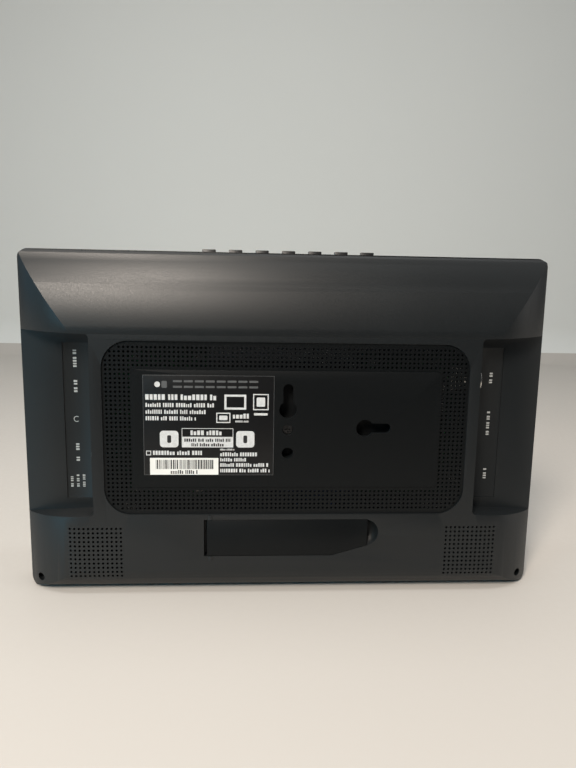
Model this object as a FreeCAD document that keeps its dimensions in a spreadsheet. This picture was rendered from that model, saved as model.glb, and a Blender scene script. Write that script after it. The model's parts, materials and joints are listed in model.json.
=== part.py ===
"""Portable television, ten inch, as a FreeCAD document.

Millimetres. +Z is up, the screen looks along -Y and the back along +Y.
X = 0 and Y = 0 are the middle of the case and Z = 0 is what it stands on.
"""
import FreeCAD, Part
import os
import re
import Sketcher

doc = FreeCAD.newDocument("portable_television")

# ---------------------------------------------------------------- driving sizes

SIZES = {
    # The display module sets the width and the height of the case.
    "panel_width": 235.0,
    "panel_height": 143.0,
    "panel_depth": 5.5,
    "panel_bottom": 17.8,
    "side_space": 13.5,
    "top_space": 9.2,
    "picture_width": 222.7,
    "picture_height": 125.3,
    "picture_low": 8.85,
    "window_margin": 0.8,
    "window_bevel": 1.6,
    "glass_width": 228.6,
    "glass_height": 131.2,
    "glass_depth": 1.4,
    "glass_gap": 0.15,
    # Case shells.
    "case_depth": 28.0,
    "front_depth": 12.5,
    "wall": 2.0,
    "case_corner": 5.0,
    "front_round": 1.4,
    "seam_inset": 0.7,
    "rim": 2.0,
    "base_rim": 3.0,
    "top_run": 42.0,
    "side_run": 29.5,
    "base_run": 12.5,
    "boss_rise": 0.4,
    "lip_height": 1.5,
    "lip_width": 1.2,
    "lip_gap": 0.2,
    # Open bays for the plugs, left and right.
    "bay_width": 36.5,
    "bay_low": 40.8,
    "bay_high": 40.0,
    "bay_flare": 1.5,
    "bay_corner": 2.0,
    "strip_from_wall": 4.0,
    "strip_width": 12.4,
    "strip_end": 5.0,
    "strip_depth": 0.5,
    # Raised island inside a perforated band.
    "band_side": 5.5,
    "band_low": 0.8,
    "band_high": 2.8,
    "band_corner": 13.0,
    "band_depth": 0.8,
    "border_side": 13.6,
    "border_low": 14.2,
    "border_high": 13.7,
    "island_corner": 2.5,
    "hole_radius": 0.6,
    "grille_pitch": 2.25,
    "grille_count": 12.0,
    "grille_side": 37.0,
    "grille_low": 22.0,
    # Wall hanging: two keyholes, a locating hole and the middle screw.
    "head_radius": 4.3,
    "neck_radius": 2.45,
    "keyhole_run": 10.3,
    "keyhole_depth": 5.0,
    "keyhole_wall": 1.5,
    "head_room": 0.9,
    "upright_rise": 9.85,
    "level_reach": 38.0,
    "level_rise": 0.95,
    "locator_radius": 2.8,
    "locator_drop": 11.7,
    "locator_depth": 5.0,
    "middle_well_radius": 2.6,
    "middle_seat": 2.8,
    # Kickstand, a gate leg on an upright pin.
    "leg_length": 80.4,
    "leg_height": 18.6,
    "leg_low": 20.05,
    "leg_thickness": 3.4,
    "heel_margin": 0.1,
    "leg_end": 39.4,
    "leg_cut_run": 18.0,
    "leg_cut_rise": 5.1,
    "leg_gap": 0.2,
    "leg_free_gap": 1.5,
    "stop_gap": 0.1,
    "pin_radius": 0.8,
    "pin_fit": 0.05,
    "pin_grip": 2.0,
    "pin_end_gap": 0.1,
    "ear_radius": 2.1,
    "ear_length": 2.2,
    "scoop_radius": 6.9,
    "scoop_depth": 5.0,
    "scoop_shift": 1.2,
    "scoop_low": 31.8,
    # Keys along the top edge.
    "key_count": 7.0,
    "key_pitch": 13.2,
    "key_width": 6.6,
    "key_depth": 2.8,
    "key_rise": 1.6,
    "key_line": 7.25,
    "key_gap": 0.2,
    "key_travel": 0.5,
    "flange_margin": 1.0,
    "flange_height": 1.2,
    "flange_gap": 0.3,
    "nub_width": 2.4,
    "nub_length": 1.6,
    "key_slack": 0.1,
    "switch_width": 6.0,
    "switch_depth": 3.6,
    "plunger_radius": 0.9,
    "plunger_height": 0.4,
    "button_board_width": 96.0,
    "button_board_depth": 9.0,
    "button_board_thickness": 1.2,
    "rail_width": 4.0,
    "rail_bite": 1.0,
    "rail_lip": 0.5,
    "rail_gap": 0.1,
    # Boards, on standoffs from a steel plate behind the display.
    "plate_thickness": 0.8,
    "plate_inset": 2.0,
    "plate_low": 12.0,
    "plate_high": 10.0,
    "ear_reach": 5.0,
    "ear_side": 3.2,
    "ear_inset": 14.0,
    "front_boss_radius": 2.6,
    "port_axis": 8.75,
    "port_lift": 3.65,
    "board_thickness": 1.6,
    "board_gap": 0.5,
    "main_board_width": 54.0,
    "main_board_half": 36.0,
    "io_board_width": 52.0,
    "io_board_half": 38.0,
    "screw_inset": 4.0,
    "screw_from_ports": 18.0,
    "standoff_radius": 2.2,
    "screw_radius": 0.95,
    "screw_gap": 0.05,
    "screw_reach": 4.5,
    "screw_head_radius": 1.9,
    "screw_head_height": 1.1,
    "board_hole_gap": 0.15,
    "case_screw_radius": 1.1,
    "case_screw_head": 1.75,
    "case_screw_head_height": 1.4,
    "case_screw_reach": 6.0,
    "case_well_radius": 2.0,
    "case_post_radius": 3.4,
    "case_screw_side": 7.4,
    "case_screw_low": 6.4,
    "case_seat": 2.5,
    "battery_width": 66.0,
    "battery_height": 54.0,
    "battery_gap": 0.3,
    "battery_low": 24.0,
    # Ports, by their distance from the middle of the bay.
    "port_gap": 0.2,
    "port_proud": 0.2,
    "jack_length": 12.0,
    "jack_width": 6.4,
    "jack_height": 6.2,
    "jack_nose_radius": 3.0,
    "jack_bore_radius": 1.8,
    "jack_bore_depth": 12.0,
    "av_out_place": 32.1,
    "av_in_place": 18.3,
    "headphone_place": 1.3,
    "power_switch_place": -16.1,
    "dc_place": -30.3,
    "antenna_place": 24.3,
    "hdmi_place": 0.6,
    "usb_place": -26.7,
    "dc_nose_radius": 3.9,
    "dc_bore_radius": 3.1,
    "dc_pin_radius": 1.0,
    "dc_bore_depth": 9.5,
    "dc_pin_back": 1.0,
    "dc_width": 9.0,
    "dc_height": 7.5,
    "slider_travel": 2.5,
    "slider_width": 2.4,
    "slider_depth": 2.2,
    "slider_proud": 1.8,
    "slider_base": 0.8,
    "slider_gap": 0.3,
    "slider_case_length": 7.0,
    "slider_case_width": 13.0,
    "slider_case_height": 6.4,
    "slider_sunk": 4.0,
    "antenna_sleeve_radius": 4.8,
    "antenna_bore_radius": 4.0,
    "antenna_flange_radius": 6.2,
    "antenna_flange": 0.6,
    "antenna_can": 13.6,
    "antenna_can_height": 7.4,
    "antenna_bore_depth": 9.0,
    "antenna_contact_radius": 1.2,
    "hdmi_width": 15.0,
    "hdmi_height": 6.0,
    "hdmi_tongue_width": 10.4,
    "hdmi_tongue": 1.2,
    "usb_width": 13.2,
    "usb_height": 5.8,
    "usb_tongue_width": 11.0,
    "usb_tongue": 1.9,
    "socket_length": 12.5,
    "socket_shell": 0.4,
    "socket_depth": 10.0,
    "tongue_back": 1.0,
    # Loudspeakers behind the two grilles.
    "speaker_radius": 13.0,
    "speaker_depth": 6.4,
    "speaker_drop": 1.2,
    "speaker_gap": 0.3,
    "speaker_ring": 1.2,
    "speaker_ring_depth": 6.0,
    "cone_radius": 10.5,
    "cone_depth": 2.6,
    "cone_gap": 0.1,
    "cone_sheet": 0.6,
    "dust_cap_radius": 4.0,
    # Parts on the boards.
    "tuner_width": 24.0,
    "tuner_height": 20.0,
    "tuner_depth": 5.6,
    "tuner_from_ports": 13.6,
    "chip_side": 20.0,
    "chip_depth": 1.6,
    "chip_from_ports": 18.0,
    "chip_drop": 20.0,
    "sink_side": 24.0,
    "sink_base": 1.2,
    "sink_fin_height": 4.0,
    "sink_fin": 1.0,
    "sink_fin_count": 6.0,
    "ribbon_width": 16.0,
    "ribbon_thickness": 0.3,
    "ribbon_lap": 6.0,
    "ribbon_out": 2.0,
    "ribbon_slot_margin": 1.0,
    # Infrared window and status lamp under the picture.
    "ir_from_middle": 52.0,
    "ir_width": 13.0,
    "ir_height": 5.0,
    "ir_low": 10.5,
    "insert_gap": 0.1,
    "lamp_radius": 1.2,
    "lamp_step": 9.0,
    "sensor_board_width": 32.0,
    "sensor_board_height": 9.6,
    "sensor_board_thickness": 1.0,
    "insert_length": 4.2,
    # Stickers on the island.
    "label_width": 63.0,
    "label_height": 49.4,
    "label_from_middle": 6.7,
    "label_drop": 2.3,
    "label_thickness": 0.15,
    "barcode_width": 33.0,
    "barcode_height": 8.4,
    "barcode_inset": 3.0,
    "barcode_low": 0.3,
    "barcode_thickness": 0.1,
}

dims = doc.addObject("Spreadsheet::Sheet", "dims")
for row, (alias, size) in enumerate(SIZES.items(), start=1):
    dims.set(f"A{row}", alias)
    dims.set(f"B{row}", str(size))
    dims.setAlias(f"B{row}", alias)
doc.recompute()

# --------------------------------------------------------------- derived places

HALF_WIDTH = "(panel_width/2 + side_space)"
CASE_TOP = "(panel_bottom + panel_height + top_space)"
FRONT_Y = "(-case_depth/2)"
SEAM_Y = f"({FRONT_Y} + front_depth)"
BACK_Y = "(case_depth/2 - boss_rise)"
CEILING_Y = f"({BACK_Y} - wall)"
PANEL_Y = f"({FRONT_Y} + wall)"
PANEL_BACK_Y = f"({PANEL_Y} + panel_depth)"
PLATE_BACK_Y = f"({PANEL_BACK_Y} + plate_thickness)"
WINDOW_LOW = "(panel_bottom + picture_low - window_margin)"
WINDOW_HALF = "(picture_width/2 + window_margin)"
WINDOW_HEIGHT = "(picture_height + 2*window_margin)"

BAY_X = f"({HALF_WIDTH} - bay_width)"
BAY_WALL_X = f"({BAY_X} - wall)"
BAY_FLOOR_Y = f"({SEAM_Y} + rim)"
BAY_TOP = f"({CASE_TOP} - bay_high)"
BAY_MIDDLE = f"((bay_low + {BAY_TOP})/2)"

BAND_HALF = f"({BAY_X} - band_side)"
BAND_LOW = "(bay_low + band_low)"
BAND_TOP = f"({BAY_TOP} - band_high)"
ISLAND_HALF = f"({BAND_HALF} - border_side)"
ISLAND_LOW = f"({BAND_LOW} + border_low)"
ISLAND_TOP = f"({BAND_TOP} - border_high)"
ISLAND_MIDDLE = f"(({ISLAND_LOW} + {ISLAND_TOP})/2)"
BAND_FLOOR_Y = f"({BACK_Y} - band_depth)"

PORT_Y = f"({SEAM_Y} + port_axis)"
BOARD_TOP_Y = f"({PORT_Y} - port_lift)"
BOARD_BOTTOM_Y = f"({BOARD_TOP_Y} - board_thickness)"
BOARD_EDGE_X = f"({BAY_WALL_X} - board_gap)"

LEG_HEEL = "(leg_thickness/2 + heel_margin)"
HINGE_X = f"(leg_end - {LEG_HEEL})"
HINGE_Y = f"({BACK_Y} - leg_thickness/2)"
LEG_TOP = "(leg_low + leg_height)"
POCKET_FLOOR_Y = f"({HINGE_Y} - {LEG_HEEL} - stop_gap)"
POCKET_END_X = "(leg_end + leg_free_gap)"
LEG_TIP_X = "(leg_end - leg_length)"
SCOOP_X = f"({LEG_TIP_X} + scoop_shift)"

GRILLE_X = f"({HALF_WIDTH} - grille_side)"
SPEAKER_FRONT_Y = f"({CEILING_Y} - speaker_drop)"
KEY_Y = f"({FRONT_Y} + key_line)"
CASE_SCREW_X = f"({HALF_WIDTH} - case_screw_side)"
CASE_SEAT_Y = f"({SEAM_Y} + case_seat)"
MIDDLE_SEAT_Y = f"({BACK_Y} - middle_seat)"
MIDDLE_BOSS_Y = f"({MIDDLE_SEAT_Y} - wall)"
KEYHOLE_FLOOR_Y = f"({CEILING_Y} - keyhole_depth)"
LOCATOR_FLOOR_Y = f"({CEILING_Y} - locator_depth)"

SIDES = {"left": "1", "right": "-1"}

# ---------------------------------------------------------------------- helpers


def cells(expression):
    """Turn plain size names into references to the sheet."""
    def refer(match):
        word = match.group(0)
        return f"dims.{word}" if word in SIZES else word
    return re.sub(r"[a-z][a-z_]*", refer, expression)


def value(expression):
    """The present number behind an expression."""
    return float(dims.evalExpression(cells(expression)))


def bind(item, settings):
    for name, expression in settings.items():
        item.setExpression(name, cells(expression))
    return item


def box(name, x, y, z, width, depth, height):
    """A block by its lowest corner and its sizes along X, Y and Z."""
    settings = {"Length": width, "Width": depth, "Height": height}
    settings.update({"Placement.Base.x": x, "Placement.Base.y": y, "Placement.Base.z": z})
    return bind(doc.addObject("Part::Box", name), settings)


def mid_box(name, x, y, z, width, depth, height):
    """A block centred on x and z, which starts at y."""
    return box(name, f"{x} - {width}/2", y, f"{z} - {height}/2", width, depth, height)


def rod(name, x, y, z, radius, length, along=(0, 1, 0)):
    """A round bar from a point, along an axis."""
    item = doc.addObject("Part::Cylinder", name)
    item.Placement.Rotation = FreeCAD.Rotation(FreeCAD.Vector(0, 0, 1), FreeCAD.Vector(*along))
    settings = {"Radius": radius, "Height": length}
    settings.update({"Placement.Base.x": x, "Placement.Base.y": y, "Placement.Base.z": z})
    return bind(item, settings)


def cone(name, x, y, z, radius, end_radius, length, along=(0, 1, 0)):
    item = doc.addObject("Part::Cone", name)
    item.Placement.Rotation = FreeCAD.Rotation(FreeCAD.Vector(0, 0, 1), FreeCAD.Vector(*along))
    settings = {"Radius1": radius, "Radius2": end_radius, "Height": length}
    settings.update({"Placement.Base.x": x, "Placement.Base.y": y, "Placement.Base.z": z})
    return bind(item, settings)


def fuse(name, *pieces):
    item = doc.addObject("Part::MultiFuse", name)
    item.Shapes = list(pieces)
    return item


def common(name, *pieces):
    item = doc.addObject("Part::MultiCommon", name)
    item.Shapes = list(pieces)
    return item


def cut(name, base, *tools):
    item = doc.addObject("Part::Cut", name)
    item.Base = base
    item.Tool = tools[0] if len(tools) == 1 else fuse(f"{name}_tools", *tools)
    return item


def group(name, *pieces):
    """Separate solids that share one node."""
    item = doc.addObject("Part::Compound", name)
    item.Links = list(pieces)
    return item


def arc_centre(start, end, axis, known):
    """Centre of the circle through two points, with one coordinate known."""
    middle = (end.x ** 2 + end.y ** 2 - start.x ** 2 - start.y ** 2) / 2
    run = end - start
    if axis == "x":
        return FreeCAD.Vector(known, (middle - run.x * known) / run.y, 0)
    return FreeCAD.Vector((middle - run.y * known) / run.x, known, 0)


def prism(name, plane, start, length, outline):
    """Pad an outline drawn on one of the body's own planes.

    The outline runs anticlockwise as (x, y), or (x, y, axis, place) where an arc
    leaves the point: its centre has that coordinate along that axis.
    """
    body = doc.addObject("PartDesign::Body", name)
    sketch = body.newObject("Sketcher::SketchObject", f"{name}_sketch")
    planes = [item for item in body.Origin.OriginFeatures if item.Role == plane]
    sketch.AttachmentSupport = [(planes[0], "")]
    sketch.MapMode = "FlatFace"
    bind(sketch, {"AttachmentOffset.Base.z": start})
    corners = [FreeCAD.Vector(value(point[0]), value(point[1]), 0) for point in outline]
    for index, point in enumerate(outline):
        here = corners[index]
        there = corners[(index + 1) % len(corners)]
        if len(point) == 2:
            sketch.addGeometry(Part.LineSegment(here, there))
            continue
        centre = arc_centre(here, there, point[2], value(point[3]))
        circle = Part.Circle(centre, FreeCAD.Vector(0, 0, 1), (here - centre).Length)
        sketch.addGeometry(Part.ArcOfCircle(circle, circle.parameter(here), circle.parameter(there)))
    for index in range(len(outline)):
        following = (index + 1) % len(outline)
        sketch.addConstraint(Sketcher.Constraint("Coincident", index, 2, following, 1))

    def pin(kind, geometry, end, number, label, expression):
        place = sketch.addConstraint(Sketcher.Constraint(kind, -1, 1, geometry, end, number))
        sketch.renameConstraint(place, label)
        bind(sketch, {f"Constraints.{label}": expression})

    for index, point in enumerate(outline):
        pin("DistanceX", index, 1, corners[index].x, f"across{index}", point[0])
        pin("DistanceY", index, 1, corners[index].y, f"along{index}", point[1])
        if len(point) == 4:
            pin(f"Distance{point[2].upper()}", index, 3, value(point[3]), f"centre{index}", point[3])
    pad = body.newObject("PartDesign::Pad", f"{name}_pad")
    pad.Profile = sketch
    bind(pad, {"Length": length})
    return body


def rounded_outline(left, right, low, high, corner):
    """A rectangle with round corners, for prism."""
    return [
        (f"{left} + {corner}", low),
        (f"{right} - {corner}", low, "x", f"{right} - {corner}"),
        (right, f"{low} + {corner}"),
        (right, f"{high} - {corner}", "x", f"{right} - {corner}"),
        (f"{right} - {corner}", high),
        (f"{left} + {corner}", high, "x", f"{left} + {corner}"),
        (left, f"{high} - {corner}"),
        (left, f"{low} + {corner}", "x", f"{left} + {corner}"),
    ]


def upright_prism(name, front, back, outline):
    """An outline in X and Z, between two Y places."""
    return prism(name, "XZ_Plane", f"-({back})", f"{back} - ({front})", outline)


SUBPARTS = []


def keep(label, item):
    """Name a finished sub-part and list it for export."""
    item.Label = label
    SUBPARTS.append(item)
    return item


# ------------------------------------------------------------------ rear cover


def cover_form(name, inset, front):
    """The crowned outer form of the cover, or the same form further in."""
    low = f"(seam_inset + {inset})"
    top = f"({CASE_TOP} - seam_inset - {inset})"
    back = f"({BACK_Y} - {inset})"
    half = f"({HALF_WIDTH} - seam_inset - {inset})"
    rim_y = f"({SEAM_Y} + rim)"
    base_y = f"({SEAM_Y} + base_rim)"
    top_z = f"({CASE_TOP} - seam_inset - top_run)"
    base_z = "(seam_inset + base_run)"
    side_x = f"({HALF_WIDTH} - seam_inset - side_run)"
    upright = prism(f"{name}_upright", "YZ_Plane", f"-{HALF_WIDTH}", f"2*{HALF_WIDTH}", [
        (front, low),
        (base_y, low, "y", base_z),
        (back, base_z),
        (back, top_z, "y", top_z),
        (rim_y, top),
        (front, top),
    ])
    level = prism(f"{name}_level", "XY_Plane", "0", CASE_TOP, [
        (f"-{half}", front),
        (half, front),
        (half, rim_y, "x", side_x),
        (side_x, back),
        (f"-{side_x}", back, "x", f"-{side_x}"),
        (f"-{half}", rim_y),
    ])
    corner = f"(case_corner - seam_inset - {inset})"
    outline = rounded_outline(f"-{half}", half, low, top, corner)
    rim = upright_prism(f"{name}_rim", front, "case_depth/2", outline)
    return common(name, upright, level, rim)


def bay(name, side, margin):
    """A plug bay, or the same space with a margin all round."""
    sign = SIDES[side]
    inner = f"{sign}*({BAY_X} - {margin})"
    near = f"{sign}*({BAY_X} + bay_corner)"
    outer = f"{sign}*({HALF_WIDTH} + wall)"
    low = f"(bay_low - {margin})"
    top = f"({BAY_TOP} + {margin})"
    round_low = "(bay_low + bay_corner)"
    round_top = f"({BAY_TOP} - bay_corner)"
    if side == "left":
        outline = [
            (near, low),
            (outer, f"{low} - bay_flare"),
            (outer, f"{top} + bay_flare"),
            (near, top, "y", round_top),
            (inner, round_top),
            (inner, round_low, "y", round_low),
        ]
    else:
        outline = [
            (outer, f"{low} - bay_flare"),
            (near, low, "y", round_low),
            (inner, round_low),
            (inner, round_top, "y", round_top),
            (near, top),
            (outer, f"{top} + bay_flare"),
        ]
    return upright_prism(name, f"{BAY_FLOOR_Y} - {margin}", f"{BACK_Y} + wall", outline)


def leg_pocket(name, margin):
    """The recess that the folded kickstand lies in."""
    around = f"(leg_gap + {margin})"
    left = f"({LEG_TIP_X} - {around})"
    right = f"({POCKET_END_X} + {margin})"
    low = f"(leg_low - {around})"
    top = f"({LEG_TOP} + {around})"
    slope = "(leg_cut_rise/leg_cut_run)"
    rise = f"(leg_cut_rise - {around}*sqrt(1 + {slope}^2))"
    return upright_prism(name, f"{POCKET_FLOOR_Y} - {margin}", f"{BACK_Y} + wall", [
        (f"{LEG_TIP_X} + ({rise} + {around})/{slope}", low),
        (right, low),
        (right, top),
        (left, top),
        (left, f"leg_low + {rise} + {around}*{slope}"),
    ])


def finger_scoop(name, margin):
    """A dish by the kickstand's free end."""
    rise = "((scoop_radius^2 - scoop_depth^2)/(2*scoop_depth))"
    item = doc.addObject("Part::Sphere", name)
    centre = {"Placement.Base.x": SCOOP_X, "Placement.Base.y": f"{BACK_Y} + {rise}", "Placement.Base.z": "scoop_low"}
    return bind(item, {"Radius": f"scoop_depth + {rise} + {margin}", **centre})


def keyhole_slot(name, x, z, run_x, run_z, head, neck, front, back):
    """A round head and a narrow slot that runs from it, between two Y places."""
    depth = f"({back} - ({front}))"
    round_head = rod(f"{name}_head", x, front, z, head, depth)
    end = rod(f"{name}_end", f"{x} + {run_x}", front, f"{z} + {run_z}", neck, depth)
    across = f"(abs({run_z})/(abs({run_x}) + abs({run_z})))"
    up = f"(abs({run_x})/(abs({run_x}) + abs({run_z})))"
    neck_box = mid_box(f"{name}_neck", f"({x} + ({run_x})/2)", front, f"({z} + ({run_z})/2)",
                       f"(abs({run_x}) + 2*{neck}*{across})", depth, f"(abs({run_z}) + 2*{neck}*{up})")
    return fuse(name, round_head, end, neck_box)


KEYHOLES = {
    "upright": ("0", f"({ISLAND_MIDDLE} + upright_rise)", "0", "keyhole_run"),
    "level": ("-level_reach", f"({ISLAND_MIDDLE} + level_rise)", "-keyhole_run", "0"),
}


def keyhole_room(name, margin):
    """The closed space behind each keyhole, where a screw head slides."""
    x, z, run_x, run_z = KEYHOLES[name]
    head = f"(head_radius + head_room + {margin})"
    front = f"{KEYHOLE_FLOOR_Y} - {margin}"
    back = CEILING_Y if margin == "0" else f"{CEILING_Y} + wall/2"
    label = f"{name}_room" if margin == "0" else f"{name}_housing"
    return keyhole_slot(label, x, z, run_x, run_z, head, head, front, back)


def drilled(name, places, front, back):
    """Every small round hole at the places given, as one cutting shape."""
    holes = []
    depth = value(back) - value(front)
    for x, z in places:
        start = FreeCAD.Vector(x, value(front), z)
        holes.append(Part.makeCylinder(value("hole_radius"), depth, start, FreeCAD.Vector(0, 1, 0)))
    item = doc.addObject("Part::Feature", name)
    item.Shape = Part.makeCompound(holes)
    return item


def grille_places(sign):
    pitch = value("grille_pitch")
    count = int(value("grille_count"))
    steps = [(index - (count - 1) / 2) * pitch for index in range(count)]
    centre = sign * value(GRILLE_X)
    return [(centre + across, value("grille_low") + up) for across in steps for up in steps]


def port_holes():
    """Openings in the two bay walls, one to a port, with the ports' clearance."""
    start = f"({BAY_WALL_X} - wall)"
    depth = "(3*wall)"
    tools = []
    rounds = {
        "av_out": ("left", "av_out_place", "jack_nose_radius"),
        "av_in": ("left", "av_in_place", "jack_nose_radius"),
        "headphone": ("left", "headphone_place", "jack_nose_radius"),
        "dc": ("left", "dc_place", "dc_nose_radius"),
        "antenna": ("right", "antenna_place", "antenna_sleeve_radius"),
    }
    for name, (side, place, radius) in rounds.items():
        sign = SIDES[side]
        along = (int(sign), 0, 0)
        tools.append(rod(f"{name}_opening", f"{sign}*{start}", PORT_Y, f"{BAY_MIDDLE} + {place}",
                         f"{radius} + port_gap", depth, along))
    slots = {
        "hdmi": ("right", "hdmi_place", "hdmi_width", "hdmi_height", "0"),
        "usb": ("right", "usb_place", "usb_width", "usb_height", "0"),
        "slider": ("left", "power_switch_place", "slider_width", "slider_depth", "slider_travel"),
    }
    for name, (side, place, width, height, travel) in slots.items():
        sign = SIDES[side]
        corner = start if side == "left" else f"(-{start} - {depth})"
        opening = f"({width} + {travel} + 2*port_gap)"
        tall = f"({height} + 2*port_gap)"
        tools.append(box(f"{name}_opening", corner, f"{PORT_Y} - {tall}/2",
                         f"{BAY_MIDDLE} + {place} - {opening}/2", depth, tall, opening))
    return tools


def build_rear_cover():
    far_back = f"({BACK_Y} + wall)"
    outer = cover_form("cover_outer", "0", SEAM_Y)
    hollow = cover_form("cover_hollow", "wall", SEAM_Y)
    recesses = [bay(f"{side}_bay", side, "0") for side in SIDES]
    recesses += [leg_pocket("leg_pocket", "0"), finger_scoop("finger_scoop", "0")]
    linings = [bay(f"{side}_bay_lining", side, "wall") for side in SIDES]
    linings += [leg_pocket("leg_pocket_lining", "wall"), finger_scoop("finger_scoop_lining", "wall")]
    linings += [keyhole_room(name, "keyhole_wall") for name in KEYHOLES]
    linings.append(rod("locator_lining", "0", f"{LOCATOR_FLOOR_Y} - wall", f"{ISLAND_MIDDLE} - locator_drop",
                       "locator_radius + wall", "locator_depth + 2*wall"))
    linings.append(rod("middle_lining", "0", MIDDLE_BOSS_Y, ISLAND_MIDDLE, "middle_well_radius + wall/2", "2*wall"))
    for side, sign in SIDES.items():
        linings.append(rod(f"{side}_case_post", f"{sign}*{CASE_SCREW_X}", SEAM_Y, "case_screw_low",
                           "case_post_radius", f"{BACK_Y} - {SEAM_Y}"))
        ring = rod(f"{side}_speaker_ring_outer", f"{sign}*{GRILLE_X}", f"{CEILING_Y} - speaker_ring_depth",
                   "grille_low", "speaker_radius + speaker_gap + speaker_ring", "speaker_ring_depth + wall/2")
        bore = rod(f"{side}_speaker_ring_bore", f"{sign}*{GRILLE_X}", f"{CEILING_Y} - 2*speaker_ring_depth",
                   "grille_low", "speaker_radius + speaker_gap", "3*speaker_ring_depth")
        linings.append(cut(f"{side}_speaker_ring", ring, bore))
    inside = cut("cover_inside", hollow, *linings)
    skin = cut("cover_skin", outer, inside)

    lip_out = "(wall + lip_gap - seam_inset)"
    lip_in = f"({lip_out} + lip_width)"

    def lip_prism(name, inset):
        half = f"({HALF_WIDTH} - seam_inset - {inset})"
        outline = rounded_outline(f"-{half}", half, f"seam_inset + {inset}",
                                  f"{CASE_TOP} - seam_inset - {inset}", f"(case_corner - seam_inset - {inset})")
        return upright_prism(name, f"{SEAM_Y} - lip_height", f"{SEAM_Y} + wall", outline)

    lip = cut("cover_lip", lip_prism("lip_outside", lip_out), lip_prism("lip_inside", lip_in))
    ears = []
    for name, low in (("lower", "leg_low - leg_gap - ear_length"), ("upper", f"{LEG_TOP} + leg_gap")):
        ears.append(rod(f"{name}_ear", HINGE_X, HINGE_Y, low, "ear_radius", "ear_length", (0, 0, 1)))
    shell = fuse("cover_shell", skin, lip, *ears)

    band = upright_prism("band", BAND_FLOOR_Y, far_back,
                         rounded_outline(f"-{BAND_HALF}", BAND_HALF, BAND_LOW, BAND_TOP, "band_corner"))
    island = upright_prism("island", f"{BAND_FLOOR_Y} - wall", f"{far_back} + wall",
                           rounded_outline(f"-{ISLAND_HALF}", ISLAND_HALF, ISLAND_LOW, ISLAND_TOP, "island_corner"))
    tools = recesses + [cut("band_ring", band, island)] + port_holes()
    for name, (x, z, run_x, run_z) in KEYHOLES.items():
        tools.append(keyhole_slot(f"{name}_mouth", x, z, run_x, run_z, "head_radius", "neck_radius",
                                  f"{CEILING_Y} - wall/2", far_back))
        tools.append(keyhole_room(name, "0"))
    locator_z = f"{ISLAND_MIDDLE} - locator_drop"
    tools.append(rod("locator_hole", "0", LOCATOR_FLOOR_Y, locator_z,
                     "locator_radius", "locator_depth + 2*wall"))
    tools.append(rod("middle_well", "0", MIDDLE_SEAT_Y, ISLAND_MIDDLE, "middle_well_radius", "3*wall"))
    tools.append(rod("middle_hole", "0", f"{MIDDLE_BOSS_Y} - wall", ISLAND_MIDDLE,
                     "case_screw_radius + board_hole_gap", "4*wall"))
    pin_room = "(leg_gap + pin_grip + pin_end_gap)"
    tools.append(rod("cover_pin_hole", HINGE_X, HINGE_Y, f"leg_low - {pin_room}",
                     "pin_radius + screw_gap", f"leg_height + 2*{pin_room}", (0, 0, 1)))
    for side, sign in SIDES.items():
        x = f"{sign}*{CASE_SCREW_X}"
        tools.append(rod(f"{side}_case_well", x, CASE_SEAT_Y, "case_screw_low", "case_well_radius", "case_depth"))
        tools.append(rod(f"{side}_case_hole", x, f"{SEAM_Y} - wall", "case_screw_low",
                         "case_screw_radius + board_hole_gap", "case_depth/2"))
        strip_half = f"({HALF_WIDTH} - {BAY_X})"
        near = f"({BAY_X} + strip_from_wall)"
        corner = near if side == "left" else f"(-{near} - strip_width)"
        tools.append(box(f"{side}_strip", corner, f"{BAY_FLOOR_Y} - strip_depth", "bay_low + strip_end",
                         "strip_width", strip_half, f"{BAY_TOP} - bay_low - 2*strip_end"))
    machined = cut("cover_machined", shell, *tools)

    holes = drilled("grille_holes", grille_places(1) + grille_places(-1), f"{CEILING_Y} - wall", far_back)
    keep("rear_cover", cut("cover_drilled", machined, holes))


# --------------------------------------------------------------- front housing


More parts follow.
